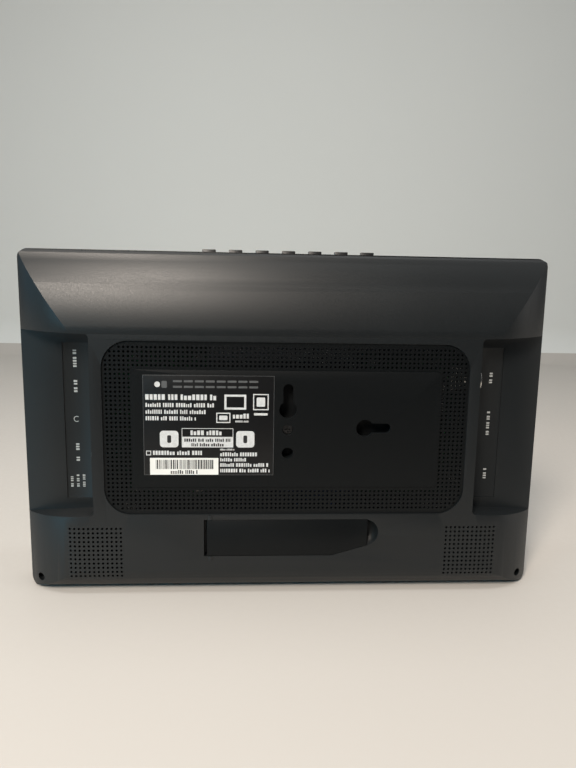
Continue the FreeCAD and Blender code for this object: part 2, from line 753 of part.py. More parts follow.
def build_front_housing():
    blank = upright_prism("front_blank", FRONT_Y, SEAM_Y,
                          rounded_outline(f"-{HALF_WIDTH}", HALF_WIDTH, "0", CASE_TOP, "case_corner"))
    doc.recompute()
    edges = []
    for number, edge in enumerate(blank.Shape.Edges, start=1):
        if max(abs(point.Point.y - value(FRONT_Y)) for point in edge.Vertexes) < 0.01:
            edges.append((number, value("front_round"), value("front_round")))
    rounded = doc.addObject("Part::Fillet", "front_rounded")
    rounded.Base = blank
    rounded.Edges = edges

    inner = f"({HALF_WIDTH} - wall)"
    cavity = upright_prism("front_cavity", PANEL_Y, f"{SEAM_Y} + wall",
                           rounded_outline(f"-{inner}", inner, "wall", f"{CASE_TOP} - wall", "(case_corner - wall)"))
    window = doc.addObject("Part::Wedge", "window")
    bind(window, {
        "Xmin": f"-{WINDOW_HALF} - window_bevel",
        "Xmax": f"{WINDOW_HALF} + window_bevel",
        "X2min": f"-{WINDOW_HALF}",
        "X2max": WINDOW_HALF,
        "Zmin": f"{WINDOW_LOW} - window_bevel",
        "Zmax": f"{WINDOW_LOW} + {WINDOW_HEIGHT} + window_bevel",
        "Z2min": WINDOW_LOW,
        "Z2max": f"{WINDOW_LOW} + {WINDOW_HEIGHT}",
        "Ymin": FRONT_Y,
        "Ymax": PANEL_Y,
    })
    tools = [cavity, window]
    for index in range(int(value("key_count"))):
        place = f"({index} - (key_count - 1)/2)*key_pitch"
        width = "(key_width + 2*key_gap)"
        depth = "(key_depth + 2*key_gap)"
        tools.append(box(f"key_slot_{index}", f"{place} - {width}/2", f"{KEY_Y} - {depth}/2",
                         f"{CASE_TOP} - 2*wall", width, depth, "3*wall"))
    tools.append(box("ir_hole", "ir_from_middle - insert_gap", f"{FRONT_Y} - wall", "ir_low - insert_gap",
                     "ir_width + 2*insert_gap", "3*wall", "ir_height + 2*insert_gap"))
    tools.append(rod("lamp_hole", "ir_from_middle + ir_width + lamp_step", f"{FRONT_Y} - wall", "ir_low + ir_height/2",
                     "lamp_radius + insert_gap", "3*wall"))
    hollow = cut("front_hollow", rounded, *tools)

    additions = []
    holes = []
    for side, sign in SIDES.items():
        x = f"{sign}*{CASE_SCREW_X}"
        additions.append(rod(f"{side}_front_post", x, f"{PANEL_Y} - wall/2", "case_screw_low",
                             "front_boss_radius", f"{SEAM_Y} - {PANEL_Y} + wall/2"))
        holes.append(rod(f"{side}_front_pilot", x, f"{SEAM_Y} - case_screw_reach - wall", "case_screw_low",
                         "case_screw_radius + screw_gap", "case_screw_reach + 2*wall"))
        for height, z in plate_ear_places():
            boss_x = f"{sign}*(panel_width/2 + ear_reach)"
            additions.append(rod(f"{side}_{height}_boss", boss_x, f"{PANEL_Y} - wall/2", z,
                                 "front_boss_radius", "panel_depth + wall/2"))
            holes.append(rod(f"{side}_{height}_pilot", boss_x, f"{PANEL_BACK_Y} - screw_reach", z,
                             "screw_radius + screw_gap", "screw_reach + wall"))
        rail_z = "(panel_bottom + panel_height + rail_gap)"
        start = "(button_board_width/2 - rail_bite)"
        corner = start if side == "left" else f"(-{start} - rail_width)"
        height = "(2*rail_lip + button_board_thickness + 2*rail_gap)"
        additions.append(box(f"{side}_rail", corner, f"{PANEL_Y} - wall/2", rail_z, "rail_width",
                             "button_board_depth + wall/2", height))
        half = "(button_board_width/2 + rail_gap)"
        slot_x = "0" if side == "left" else f"-{half}"
        holes.append(box(f"{side}_rail_slot", slot_x, PANEL_Y, f"{rail_z} + rail_lip", half,
                         "2*button_board_depth", "button_board_thickness + 2*rail_gap"))
    keep("front_housing", cut("front_finished", fuse("front_fused", hollow, *additions), *holes))


def plate_ear_places():
    """Heights of the steel plate's four ears."""
    low = "(panel_bottom + ear_inset)"
    return (("low", low), ("high", "(panel_bottom + panel_height - ear_inset)"))


# ---------------------------------------------------------------- display unit


def build_display():
    frame = box("panel_block", "-panel_width/2", PANEL_Y, "panel_bottom", "panel_width", "panel_depth", "panel_height")
    middle = "(panel_bottom + picture_low + picture_height/2)"
    seat_width = "(glass_width + 2*glass_gap)"
    seat_height = "(glass_height + 2*glass_gap)"
    seat = mid_box("glass_seat", "0", f"{PANEL_Y} - wall", middle, seat_width, "glass_depth + wall", seat_height)
    keep("lcd_frame", cut("panel_frame", frame, seat))
    keep("lcd_glass", mid_box("glass", "0", PANEL_Y, middle, "glass_width", "glass_depth", "glass_height"))


def build_plate():
    """The steel plate behind the display, its screws and the boards' standoffs."""
    low = "(panel_bottom + plate_low)"
    width = "(panel_width - 2*plate_inset)"
    sheet = mid_box("plate_sheet", "0", PANEL_BACK_Y, f"({low} + (panel_height - plate_low - plate_high)/2)",
                    width, "plate_thickness", "(panel_height - plate_low - plate_high)")
    pieces = [sheet]
    holes = []
    screws = []
    for side, sign in SIDES.items():
        x = f"{sign}*(panel_width/2 + ear_reach)"
        for height, z in plate_ear_places():
            reach = "(ear_reach + plate_inset + ear_side)"
            corner = "(panel_width/2 - plate_inset)" if side == "left" else f"(-panel_width/2 + plate_inset - {reach})"
            pieces.append(box(f"{side}_{height}_ear", corner, PANEL_BACK_Y, f"{z} - ear_side",
                              reach, "plate_thickness", "2*ear_side"))
            holes.append(rod(f"{side}_{height}_ear_hole", x, f"{PANEL_BACK_Y} - wall", z,
                             "screw_radius + board_hole_gap", "3*wall"))
            screws.append(screw(f"{side}_{height}_plate_screw", x, PLATE_BACK_Y, z, "screw"))
    slot = ribbon_slot()
    keep("chassis_plate", cut("plate_finished", fuse("plate_fused", *pieces), slot, *holes))
    keep("chassis_screws", group("plate_screws", *screws))


def screw(name, x, seat_y, z, kind):
    """A pan-head screw, its head on the seat and its shank towards the screen."""
    sizes = {
        "screw": ("screw_radius", "screw_head_radius", "screw_head_height", "(screw_reach + plate_thickness - wall/2)"),
        "board_screw": ("screw_radius", "screw_head_radius", "screw_head_height", "(screw_reach + board_thickness)"),
        "case_screw": ("case_screw_radius", "case_screw_head", "case_screw_head_height",
                       "(case_screw_reach + case_seat)"),
        "middle_screw": ("case_screw_radius", "(middle_well_radius - port_gap)", "case_screw_head_height",
                         "(case_screw_reach + wall)"),
    }
    radius, head, head_height, reach = sizes[kind]
    shank = rod(f"{name}_shank", x, f"{seat_y} - {reach}", z, radius, f"{reach} + {head_height}/2")
    blank = rod(f"{name}_head", x, seat_y, z, head, head_height)
    arm = f"(1.2*{head})"
    bit = f"({head}/4)"
    slots = []
    for direction, wide, tall in (("across", arm, bit), ("up", bit, arm)):
        slots.append(mid_box(f"{name}_{direction}", x, f"{seat_y} + {head_height}/2", z, wide, head_height, tall))
    return cut(name, fuse(f"{name}_blank", shank, blank), *slots)


# ---------------------------------------------------------------------- boards

BOARDS = {
    "main": ("right", "main_board_width", "main_board_half"),
    "io": ("left", "io_board_width", "io_board_half"),
}


def board_screw_places(board):
    side, width, half = BOARDS[board]
    sign = SIDES[side]
    near = f"{sign}*({BOARD_EDGE_X} - screw_from_ports)"
    far = f"{sign}*({BOARD_EDGE_X} - {width} + screw_inset)"
    low = f"({BAY_MIDDLE} - {half} + screw_inset)"
    high = f"({BAY_MIDDLE} + {half} - screw_inset)"
    return [(x, z) for x in (near, far) for z in (low, high)]


def build_boards():
    standoffs = []
    screws = []
    for board, (side, width, half) in BOARDS.items():
        corner = f"({BOARD_EDGE_X} - {width})" if side == "left" else f"-{BOARD_EDGE_X}"
        blank = box(f"{board}_blank", corner, BOARD_BOTTOM_Y, f"{BAY_MIDDLE} - {half}",
                    width, "board_thickness", f"2*{half}")
        holes = []
        for number, (x, z) in enumerate(board_screw_places(board)):
            holes.append(rod(f"{board}_hole_{number}", x, f"{BOARD_BOTTOM_Y} - wall", z,
                             "screw_radius + board_hole_gap", "3*wall"))
            tube = rod(f"{board}_tube_{number}", x, PLATE_BACK_Y, z, "standoff_radius",
                       f"{BOARD_BOTTOM_Y} - {PLATE_BACK_Y}")
            thread = rod(f"{board}_thread_{number}", x, f"{BOARD_BOTTOM_Y} - screw_reach - wall/2", z,
                         "screw_radius + screw_gap", "screw_reach + wall")
            standoffs.append(cut(f"{board}_standoff_{number}", tube, thread))
            screws.append(screw(f"{board}_screw_{number}", x, BOARD_TOP_Y, z, "board_screw"))
        keep(f"{board}_board", cut(f"{board}_board_drilled", blank, *holes))
    keep("board_standoffs", group("standoff_set", *standoffs))
    keep("board_screws", group("board_screw_set", *screws))

    tube = rod("middle_tube", "0", PLATE_BACK_Y, ISLAND_MIDDLE, "(standoff_radius + wall/4)",
               f"{MIDDLE_BOSS_Y} - {PLATE_BACK_Y}")
    thread = rod("middle_thread", "0", f"{MIDDLE_SEAT_Y} - case_screw_reach - 2*wall", ISLAND_MIDDLE,
                 "case_screw_radius + screw_gap", "case_screw_reach + 3*wall")
    keep("centre_standoff", cut("middle_standoff", tube, thread))
    keep("centre_screw", screw("middle_fixing", "0", MIDDLE_SEAT_Y, ISLAND_MIDDLE, "middle_screw"))
    corners = [screw(f"{side}_corner_screw", f"{sign}*{CASE_SCREW_X}", CASE_SEAT_Y, "case_screw_low", "case_screw")
               for side, sign in SIDES.items()]
    keep("case_screws", group("corner_screws", *corners))

    tuner_x = f"(-{BOARD_EDGE_X} + tuner_from_ports)"
    keep("tuner_can", mid_box("tuner", f"({tuner_x} + tuner_width/2)", BOARD_TOP_Y,
                              f"({BAY_MIDDLE} + antenna_place - 2*screw_inset)", "tuner_width", "tuner_depth",
                              "tuner_height"))
    chip_x = f"(-{BOARD_EDGE_X} + chip_from_ports + chip_side/2)"
    chip_z = f"({BAY_MIDDLE} - chip_drop)"
    keep("main_chip", mid_box("chip", chip_x, BOARD_TOP_Y, chip_z, "chip_side", "chip_depth", "chip_side"))
    sink_y = f"({BOARD_TOP_Y} + chip_depth)"
    pieces = [mid_box("sink_plate", chip_x, sink_y, chip_z, "sink_side", "sink_base", "sink_side")]
    for index in range(int(value("sink_fin_count"))):
        place = f"({chip_x} - sink_side/2 + {index}*(sink_side - sink_fin)/(sink_fin_count - 1))"
        pieces.append(box(f"sink_fin_{index}", place, f"{sink_y} + sink_base/2", f"{chip_z} - sink_side/2",
                          "sink_fin", "sink_base/2 + sink_fin_height", "sink_side"))
    keep("heat_sink", fuse("finned_sink", *pieces))
    thickness = f"({LOCATOR_FLOOR_Y} - wall - battery_gap - {PLATE_BACK_Y})"
    keep("battery_pack", box("battery", "-battery_width/2", PLATE_BACK_Y, "battery_low",
                             "battery_width", thickness, "battery_height"))


RIBBON_EDGE_X = f"(-{BOARD_EDGE_X} + main_board_width)"
RIBBON_Z = f"({BAY_MIDDLE} + main_board_half - screw_inset - 2*standoff_radius - ribbon_width/2)"


def ribbon_slot():
    x = f"({RIBBON_EDGE_X} + ribbon_out - ribbon_slot_margin)"
    width = "(ribbon_thickness + 2*ribbon_slot_margin)"
    height = "(ribbon_width + 2*ribbon_slot_margin)"
    return box("ribbon_slot", x, f"{PANEL_BACK_Y} - wall", f"{RIBBON_Z} - {height}/2", width, "3*wall", height)


def build_ribbon():
    """The flat cable from the main board, over its edge and down to the display."""
    inner_x = f"({RIBBON_EDGE_X} + ribbon_out)"
    outer_x = f"({inner_x} + ribbon_thickness)"
    over_y = f"({BOARD_TOP_Y} + ribbon_thickness)"
    ribbon = prism("ribbon", "XY_Plane", f"{RIBBON_Z} - ribbon_width/2", "ribbon_width", [
        (f"{RIBBON_EDGE_X} - ribbon_lap", BOARD_TOP_Y),
        (inner_x, BOARD_TOP_Y),
        (inner_x, PANEL_BACK_Y),
        (outer_x, PANEL_BACK_Y),
        (outer_x, over_y),
        (f"{RIBBON_EDGE_X} - ribbon_lap", over_y),
    ])
    keep("lcd_ribbon", ribbon)


# ----------------------------------------------------------------------- ports


def toward(side, x, length):
    """Lowest X of a block that runs outward from x by length, on either side."""
    return x if side == "left" else f"(-({x}) - {length})"


def port_body(name, side, place, length, height, width):
    """A block that stands on the board with its face just inside the bay wall."""
    x = f"({BAY_WALL_X} - port_gap - {length})"
    return box(name, toward(side, x, length), BOARD_TOP_Y, f"{BAY_MIDDLE} + {place} - {width}/2",
               length, height, width)


def port_rod(name, side, place, radius, start, length):
    """A round bar on the port's axis that runs outward from a place inside the wall."""
    sign = SIDES[side]
    return rod(name, f"{sign}*({start})", PORT_Y, f"{BAY_MIDDLE} + {place}", radius, length, (int(sign), 0, 0))


def build_jacks():
    mouth = f"({BAY_X} + port_proud)"
    for name in ("av_out", "av_in", "headphone"):
        place = f"{name}_place"
        body = port_body(f"{name}_body", "left", place, "jack_length", "jack_height", "jack_width")
        start = f"({BAY_WALL_X} - port_gap)"
        nose = port_rod(f"{name}_nose", "left", place, "jack_nose_radius", start, f"{mouth} - {start}")
        bore = port_rod(f"{name}_bore", "left", place, "jack_bore_radius", f"{mouth} - jack_bore_depth",
                        "2*jack_bore_depth")
        keep(f"{name}_jack", cut(f"{name}_jack_bored", fuse(f"{name}_blank", body, nose), bore))

    body = port_body("dc_body", "left", "dc_place", "jack_length", "dc_height", "dc_width")
    start = f"({BAY_WALL_X} - port_gap)"
    nose = port_rod("dc_nose", "left", "dc_place", "dc_nose_radius", start, f"{mouth} - {start}")
    bore = port_rod("dc_bore", "left", "dc_place", "dc_bore_radius", f"{mouth} - dc_bore_depth", "2*dc_bore_depth")
    pin = port_rod("dc_pin", "left", "dc_place", "dc_pin_radius", f"{mouth} - dc_bore_depth - wall/2",
                   "dc_bore_depth + wall/2 - dc_pin_back")
    keep("dc_jack", fuse("dc_jack_whole", cut("dc_jack_bored", fuse("dc_blank", body, nose), bore), pin))


def build_sockets():
    mouth = f"({BAY_X} + port_proud)"
    for name in ("hdmi", "usb"):
        place = f"{name}_place"
        width = f"{name}_width"
        height = f"{name}_height"
        x = f"({mouth} - socket_length)"
        low = f"({BAY_MIDDLE} + {place} - {width}/2)"
        shell = box(f"{name}_shell", toward("right", x, "socket_length"), f"{PORT_Y} - {height}/2", low,
                    "socket_length", height, width)
        foot = box(f"{name}_foot", toward("right", x, "(socket_length/2)"), BOARD_TOP_Y, low,
                   "socket_length/2", f"{PORT_Y} - {height}/2 - {BOARD_TOP_Y} + socket_shell", width)
        hollow_x = f"({mouth} - socket_depth)"
        hollow = box(f"{name}_hollow", toward("right", hollow_x, "(2*socket_depth)"),
                     f"{PORT_Y} - {height}/2 + socket_shell", f"{low} + socket_shell", "2*socket_depth",
                     f"{height} - 2*socket_shell", f"{width} - 2*socket_shell")
        tongue_x = f"({hollow_x} - wall/2)"
        tongue_length = "(socket_depth + wall/2 - tongue_back)"
        tongue = box(f"{name}_tongue_block", toward("right", tongue_x, tongue_length), f"{PORT_Y} - {name}_tongue/2",
                     f"{BAY_MIDDLE} + {place} - {name}_tongue_width/2", tongue_length, f"{name}_tongue",
                     f"{name}_tongue_width")
        bored = cut(f"{name}_bored", fuse(f"{name}_blank", shell, foot), hollow)
        keep(f"{name}_socket", fuse(f"{name}_whole", bored, tongue))

    can = port_body("antenna_body", "right", "antenna_place", "jack_length", "antenna_can_height", "antenna_can")
    start = f"({BAY_WALL_X} - port_gap)"
    sleeve = port_rod("antenna_sleeve", "right", "antenna_place", "antenna_sleeve_radius", start,
                      f"{BAY_X} + antenna_flange - {start}")
    flange = port_rod("antenna_flange_disc", "right", "antenna_place", "antenna_flange_radius", BAY_X, "antenna_flange")
    bore = port_rod("antenna_bore", "right", "antenna_place", "antenna_bore_radius",
                    f"{BAY_X} + antenna_flange - antenna_bore_depth", "2*antenna_bore_depth")
    contact = port_rod("antenna_contact", "right", "antenna_place", "antenna_contact_radius",
                       f"{BAY_X} - antenna_bore_depth", "antenna_bore_depth - tongue_back")
    bored = cut("antenna_bored", fuse("antenna_blank", can, sleeve, flange), bore)
    keep("antenna_socket", fuse("antenna_whole", bored, contact))


def build_power_switch():
    """A slide switch: its case on the board and the knob through the bay wall."""
    case = port_body("slider_case", "left", "power_switch_place", "slider_case_length", "slider_case_height",
                     "slider_case_width")
    face_x = f"({BAY_WALL_X} - port_gap)"
    middle = f"({BAY_MIDDLE} + power_switch_place)"
    room_depth = "(slider_depth + 2*slider_base + 2*slider_gap)"
    room_width = "(slider_width + slider_travel + 2*slider_base + 2*slider_gap)"
    room = box("slider_room", f"{face_x} - slider_sunk", f"{PORT_Y} - {room_depth}/2", f"{middle} - {room_width}/2",
               "2*slider_sunk", room_depth, room_width)
    keep("power_switch_body", cut("slider_case_cut", case, room))
    rest_z = f"({middle} + slider_travel/2)"
    start = f"({face_x} - slider_sunk + slider_gap)"
    base = box("slider_foot", start, f"{PORT_Y} - slider_depth/2 - slider_base",
               f"{rest_z} - slider_width/2 - slider_base", "slider_sunk - 2*slider_gap",
               "slider_depth + 2*slider_base", "slider_width + 2*slider_base")
    neck = box("slider_neck", start, f"{PORT_Y} - slider_depth/2", f"{rest_z} - slider_width/2",
               f"{BAY_X} + slider_proud - {start}", "slider_depth", "slider_width")
    keep("power_switch_knob", fuse("slider_knob", base, neck))


# --------------------------------------------------------------- loudspeakers


def build_speakers():
    for side, sign in SIDES.items():
        x = f"{sign}*{GRILLE_X}"
        back = f"({SPEAKER_FRONT_Y} - speaker_depth)"
        body = rod(f"{side}_basket", x, back, "grille_low", "speaker_radius", "speaker_depth")
        well = cone(f"{side}_basket_well", x, f"{SPEAKER_FRONT_Y} - cone_depth - cone_sheet", "grille_low",
                    "dust_cap_radius + cone_gap", "cone_radius + cone_gap", "cone_depth + cone_sheet")
        keep(f"speaker_{side}", cut(f"{side}_basket_cut", body, well))
        outer = cone(f"{side}_cone_outer", x, f"{SPEAKER_FRONT_Y} - cone_depth - cone_sheet", "grille_low",
                     "dust_cap_radius", "cone_radius", "cone_depth + cone_sheet")
        inner = cone(f"{side}_cone_inner", x, f"{SPEAKER_FRONT_Y} - cone_depth", "grille_low",
                     "dust_cap_radius", "cone_radius - cone_sheet", "cone_depth")
        keep(f"speaker_cone_{side}", cut(f"{side}_cone_cut", outer, inner))


# ------------------------------------------------------------------------ keys

KEY_NAMES = ("key_volume_down", "key_volume_up", "key_menu", "key_source", "key_channel_down", "key_channel_up",
             "key_power")
FLANGE_TOP = f"({CASE_TOP} - wall - flange_gap)"
NUB_BOTTOM = f"({FLANGE_TOP} - flange_height - nub_length)"
SWITCH_TOP = f"({NUB_BOTTOM} - key_travel - key_slack - plunger_height)"
BUTTON_BOARD_TOP = "(panel_bottom + panel_height + 2*rail_gap + rail_lip + button_board_thickness)"


def build_keys():
    switches = []
    for index, name in enumerate(KEY_NAMES):
        x = f"(({index} - (key_count - 1)/2)*key_pitch)"
        middle_y = f"({KEY_Y} - key_depth/2)"
        flange_y = f"({KEY_Y} - key_depth/2 - flange_margin)"
        cap = mid_box(f"{name}_cap", x, middle_y, f"({FLANGE_TOP} - flange_height + {CASE_TOP} + key_rise)/2",
                      "key_width", "key_depth", f"({CASE_TOP} + key_rise - {FLANGE_TOP} + flange_height)")
        flange = mid_box(f"{name}_flange", x, flange_y, f"({FLANGE_TOP} - flange_height/2)",
                         "(key_width + 2*flange_margin)", "key_depth + 2*flange_margin", "flange_height")
        nub = box(f"{name}_nub", f"{x} - nub_width/2", f"{KEY_Y} - nub_width/2", NUB_BOTTOM,
                  "nub_width", "nub_width", "nub_length + flange_height/2")
        keep(name, fuse(f"{name}_whole", cap, flange, nub))
        case = box(f"{name}_switch_case", f"{x} - switch_width/2", f"{KEY_Y} - switch_depth/2", BUTTON_BOARD_TOP,
                   "switch_width", "switch_depth", f"{SWITCH_TOP} - {BUTTON_BOARD_TOP}")
        plunger = rod(f"{name}_plunger", x, KEY_Y, f"{SWITCH_TOP} - plunger_height", "plunger_radius",
                      "2*plunger_height", (0, 0, 1))
        switches.append(fuse(f"{name}_switch", case, plunger))
    keep("tact_switches", group("switch_set", *switches))
    keep("button_board", box("key_board", "-button_board_width/2", f"{PANEL_Y} + rail_gap",
                             f"{BUTTON_BOARD_TOP} - button_board_thickness", "button_board_width",
                             "button_board_depth", "button_board_thickness"))


# ------------------------------------------------------------- remote receiver


def build_receiver():
    back = f"({FRONT_Y} + insert_length)"
    keep("ir_window", box("ir_lens", "ir_from_middle", FRONT_Y, "ir_low", "ir_width", "insert_length", "ir_height"))
    lamp_x = "(ir_from_middle + ir_width + lamp_step)"
    keep("status_led", rod("lamp", lamp_x, FRONT_Y, "ir_low + ir_height/2", "lamp_radius", "insert_length"))
    keep("sensor_board", box("receiver_board", "ir_from_middle - wall", back,
                             "ir_low + ir_height/2 - sensor_board_height/2", "sensor_board_width",
                             "sensor_board_thickness", "sensor_board_height"))


# ------------------------------------------------------------------- kickstand


def build_kickstand():
    tip = f"({LEG_TIP_X} - {HINGE_X})"
    half = "(leg_thickness/2)"
    heel_x = f"sqrt({LEG_HEEL}^2 - {half}^2)"
    leg = prism("leg", "XY_Plane", "leg_low", "leg_height", [
        (f"{HINGE_X} + {tip}", f"{HINGE_Y} - {half}"),
        (f"{HINGE_X} + {heel_x}", f"{HINGE_Y} - {half}", "x", HINGE_X),
        (f"{HINGE_X} + {LEG_HEEL}", HINGE_Y),
        (f"{HINGE_X} + {LEG_HEEL}", f"{HINGE_Y} + {half}"),
        (f"{HINGE_X} + {tip}", f"{HINGE_Y} + {half}"),
    ])
    wedge = upright_prism("leg_cut", f"{POCKET_FLOOR_Y} - wall", f"{BACK_Y} + wall", [
        (f"{LEG_TIP_X} - leg_cut_run", "leg_low - leg_cut_rise"),
        (f"{LEG_TIP_X} + leg_cut_run + leg_cut_run", "leg_low - leg_cut_rise"),
        (f"{LEG_TIP_X} + leg_cut_run", "leg_low"),
        (f"{LEG_TIP_X} - leg_cut_run", "leg_low + 2*leg_cut_rise"),
    ])
    bore = rod("leg_bore", HINGE_X, HINGE_Y, "leg_low - wall", "pin_radius + pin_fit", "leg_height + 2*wall", (0, 0, 1))
    keep("kickstand", cut("leg_finished", leg, wedge, bore))
    keep("kickstand_pin", rod("hinge_pin", HINGE_X, HINGE_Y, "leg_low - leg_gap - pin_grip", "pin_radius",
                              "leg_height + 2*leg_gap + 2*pin_grip", (0, 0, 1)))


# -------------------------------------------------------------------- stickers


def build_stickers():
    low = f"({ISLAND_TOP} - label_drop - label_height)"
    keep("rating_label", box("label", "label_from_middle", BACK_Y, low, "label_width", "label_thickness",
                             "label_height"))
    keep("barcode_sticker", box("barcode", "label_from_middle + label_width - barcode_inset - barcode_width",
                                f"{BACK_Y} + label_thickness", f"{low} + barcode_low", "barcode_width",
                                "barcode_thickness", "barcode_height"))


# --------------------------------------------------------------- build and save

build_rear_cover()
build_front_housing()
build_display()
build_plate()
build_boards()
build_ribbon()
build_jacks()
build_sockets()
build_power_switch()
build_speakers()
build_keys()
build_receiver()
build_kickstand()
build_stickers()
doc.recompute()

for item in doc.Objects:
    if "Invalid" in item.State or "Error" in item.State:
        raise RuntimeError(f"{item.Name} failed to build")
for item in SUBPARTS:
    if item.Shape.isNull() or not item.Shape.isValid() or not item.Shape.Solids:
        raise RuntimeError(f"{item.Label} has no sound solid")

os.makedirs("parts", exist_ok=True)
for item in SUBPARTS:
    item.Shape.exportStep(f"parts/{item.Label}.step")
    print(item.Label, len(item.Shape.Solids), round(item.Shape.Volume))
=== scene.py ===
"""Looks of the portable television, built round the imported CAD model. Metres, +Z up, the back faces +Y."""
import json
import math
import random

import bmesh
import bpy
from mathutils import Matrix, Quaternion, Vector


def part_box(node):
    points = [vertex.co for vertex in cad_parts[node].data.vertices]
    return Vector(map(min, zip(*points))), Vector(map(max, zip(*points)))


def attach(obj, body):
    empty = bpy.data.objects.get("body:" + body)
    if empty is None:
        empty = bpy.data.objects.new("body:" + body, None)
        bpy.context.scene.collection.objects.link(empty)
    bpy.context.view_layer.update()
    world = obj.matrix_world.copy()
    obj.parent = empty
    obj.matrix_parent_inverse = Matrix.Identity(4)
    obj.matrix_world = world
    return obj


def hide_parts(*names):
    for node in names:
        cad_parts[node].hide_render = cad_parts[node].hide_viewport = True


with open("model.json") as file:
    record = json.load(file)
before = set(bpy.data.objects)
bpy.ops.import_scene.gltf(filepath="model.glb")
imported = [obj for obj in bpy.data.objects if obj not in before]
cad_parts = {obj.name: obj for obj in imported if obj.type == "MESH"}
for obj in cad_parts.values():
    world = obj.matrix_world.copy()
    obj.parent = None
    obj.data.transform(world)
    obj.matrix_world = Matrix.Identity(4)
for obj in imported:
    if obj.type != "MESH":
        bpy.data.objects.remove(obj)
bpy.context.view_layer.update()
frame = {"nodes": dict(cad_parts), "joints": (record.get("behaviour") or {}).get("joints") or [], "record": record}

MM = 0.001
CABINET = "cabinet"
nodes = frame["nodes"]
mounts = {mount["name"]: mount for mount in frame["record"]["mounts"]}

# ------------------------------------------------------------------------ places

case_low, case_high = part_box("front_housing")
label_low, label_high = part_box("rating_label")
sticker_low, sticker_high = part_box("barcode_sticker")
BACK_Y = label_low.y
av_out = mounts["av_out_socket"]
BAY_X = av_out["pos_m"][0] + av_out["dims"]["length_mm"] * MM / 2 - 0.2 * MM
BAY_FLOOR_Y = case_high.y + 2.0 * MM
STRIP_Y = BAY_FLOOR_Y - 0.5 * MM
STRIP_X = BAY_X + 4.0 * MM
BAND_HALF_WIDTH = BAY_X - 5.5 * MM
BAND_LOW = 41.6 * MM
BAND_HIGH = 127.2 * MM
BAND_CORNER = 13.0 * MM
BAND_DEPTH = 0.8 * MM
ISLAND_HALF_WIDTH = BAND_HALF_WIDTH - 13.6 * MM
ISLAND_LOW = BAND_LOW + 14.2 * MM
ISLAND_HIGH = BAND_HIGH - 13.7 * MM
HOLE_PITCH = 2.15 * MM
HOLE_RADIUS = 0.6 * MM
HOLE_SIDES = 12
COVER_WALL = 2.0 * MM
COVER_EDGE = 0.28 * MM
PICTURE_WIDTH = 222.7 * MM
PICTURE_HEIGHT = 125.3 * MM
SWITCH_BELOW_HEADPHONES = 17.4 * MM

# ---------------------------------------------------------------------- materials


class Shader:
    """A small builder for node materials, with every texture in object space."""

    def __init__(self, name):
        self.material = bpy.data.materials.new(name)
        self.material.use_nodes = True
        self.tree = self.material.node_tree
        self.tree.nodes.clear()
        self.output = self.add("ShaderNodeOutputMaterial")
        self.surface = self.add("ShaderNodeBsdfPrincipled")
        self.link(self.surface, "BSDF", self.output, "Surface")
        self.place = self.add("ShaderNodeTexCoord")

    def add(self, kind, **settings):
        node = self.tree.nodes.new(kind)
        for key, setting in settings.items():
            if key in node.inputs:
                node.inputs[key].default_value = setting
            else:
                setattr(node, key, setting)
        return node

    def link(self, source, output, target, target_input):
        self.tree.links.new(source.outputs[output], target.inputs[target_input])

    def set(self, **values):
        for key, setting in values.items():
            self.surface.inputs[key.replace("_", " ")].default_value = setting

    def noise(self, scale, detail=3.0, stretch=(1.0, 1.0, 1.0)):
        mapping = self.add("ShaderNodeMapping")
        mapping.inputs["Scale"].default_value = stretch
        self.link(self.place, "Object", mapping, "Vector")
        node = self.add("ShaderNodeTexNoise", Scale=scale, Detail=detail)
        self.link(mapping, "Vector", node, "Vector")
        return node

    def ramp(self, source, output, low, high, start=0.3, end=0.7):
        """Map a texture onto a range of numbers or colours."""
        node = self.add("ShaderNodeMapRange")
        if isinstance(low, tuple):
            node = self.add("ShaderNodeValToRGB")
            node.color_ramp.elements[0].position = start
            node.color_ramp.elements[1].position = end
            node.color_ramp.elements[0].color = (*low, 1.0)
            node.color_ramp.elements[1].color = (*high, 1.0)
            self.link(source, output, node, "Fac")
            return node, "Color"
        for key, number in (("From Min", start), ("From Max", end), ("To Min", low), ("To Max", high)):
            node.inputs[key].default_value = number
        self.link(source, output, node, "Value")
        return node, "Result"

    def colour(self, texture, low, high, output="Fac"):
        node, socket = self.ramp(texture, output, low, high)
        self.link(node, socket, self.surface, "Base Color")
        return node

    def roughness(self, texture, low, high, output="Fac"):
        node, socket = self.ramp(texture, output, low, high)
        self.link(node, socket, self.surface, "Roughness")

    def bump(self, texture, distance, output="Fac", under=None):
        node = self.add("ShaderNodeBump", Strength=1.0, Distance=distance)
        self.link(texture, output, node, "Height")
        if under is not None:
            self.link(under, "Normal", node, "Normal")
        self.link(node, "Normal", self.surface, "Normal")
        return node


    def inside(self, half_width, low, high, corner):
        """One inside a round-cornered rectangle of the back (seen along Y), zero outside it."""
        middle = (low + high) / 2
        shift = self.add("ShaderNodeVectorMath", operation="SUBTRACT")
        shift.inputs[1].default_value = (0.0, 0.0, middle)
        folded = self.add("ShaderNodeVectorMath", operation="ABSOLUTE")
        past = self.add("ShaderNodeVectorMath", operation="SUBTRACT")
        past.inputs[1].default_value = (half_width - corner, 1.0, (high - low) / 2 - corner)
        kept = self.add("ShaderNodeVectorMath", operation="MAXIMUM")
        kept.inputs[1].default_value = (0.0, 0.0, 0.0)
        distance = self.add("ShaderNodeVectorMath", operation="LENGTH")
        mask = self.add("ShaderNodeMath", operation="LESS_THAN")
        mask.inputs[1].default_value = corner
        self.link(self.place, "Object", shift, 0)
        self.link(shift, "Vector", folded, 0)
        self.link(folded, "Vector", past, 0)
        self.link(past, "Vector", kept, 0)
        self.link(kept, "Vector", distance, 0)
        self.link(distance, "Value", mask, 0)
        return mask


def shade(colour, factor):
    return tuple(min(1.0, part * factor) for part in colour)


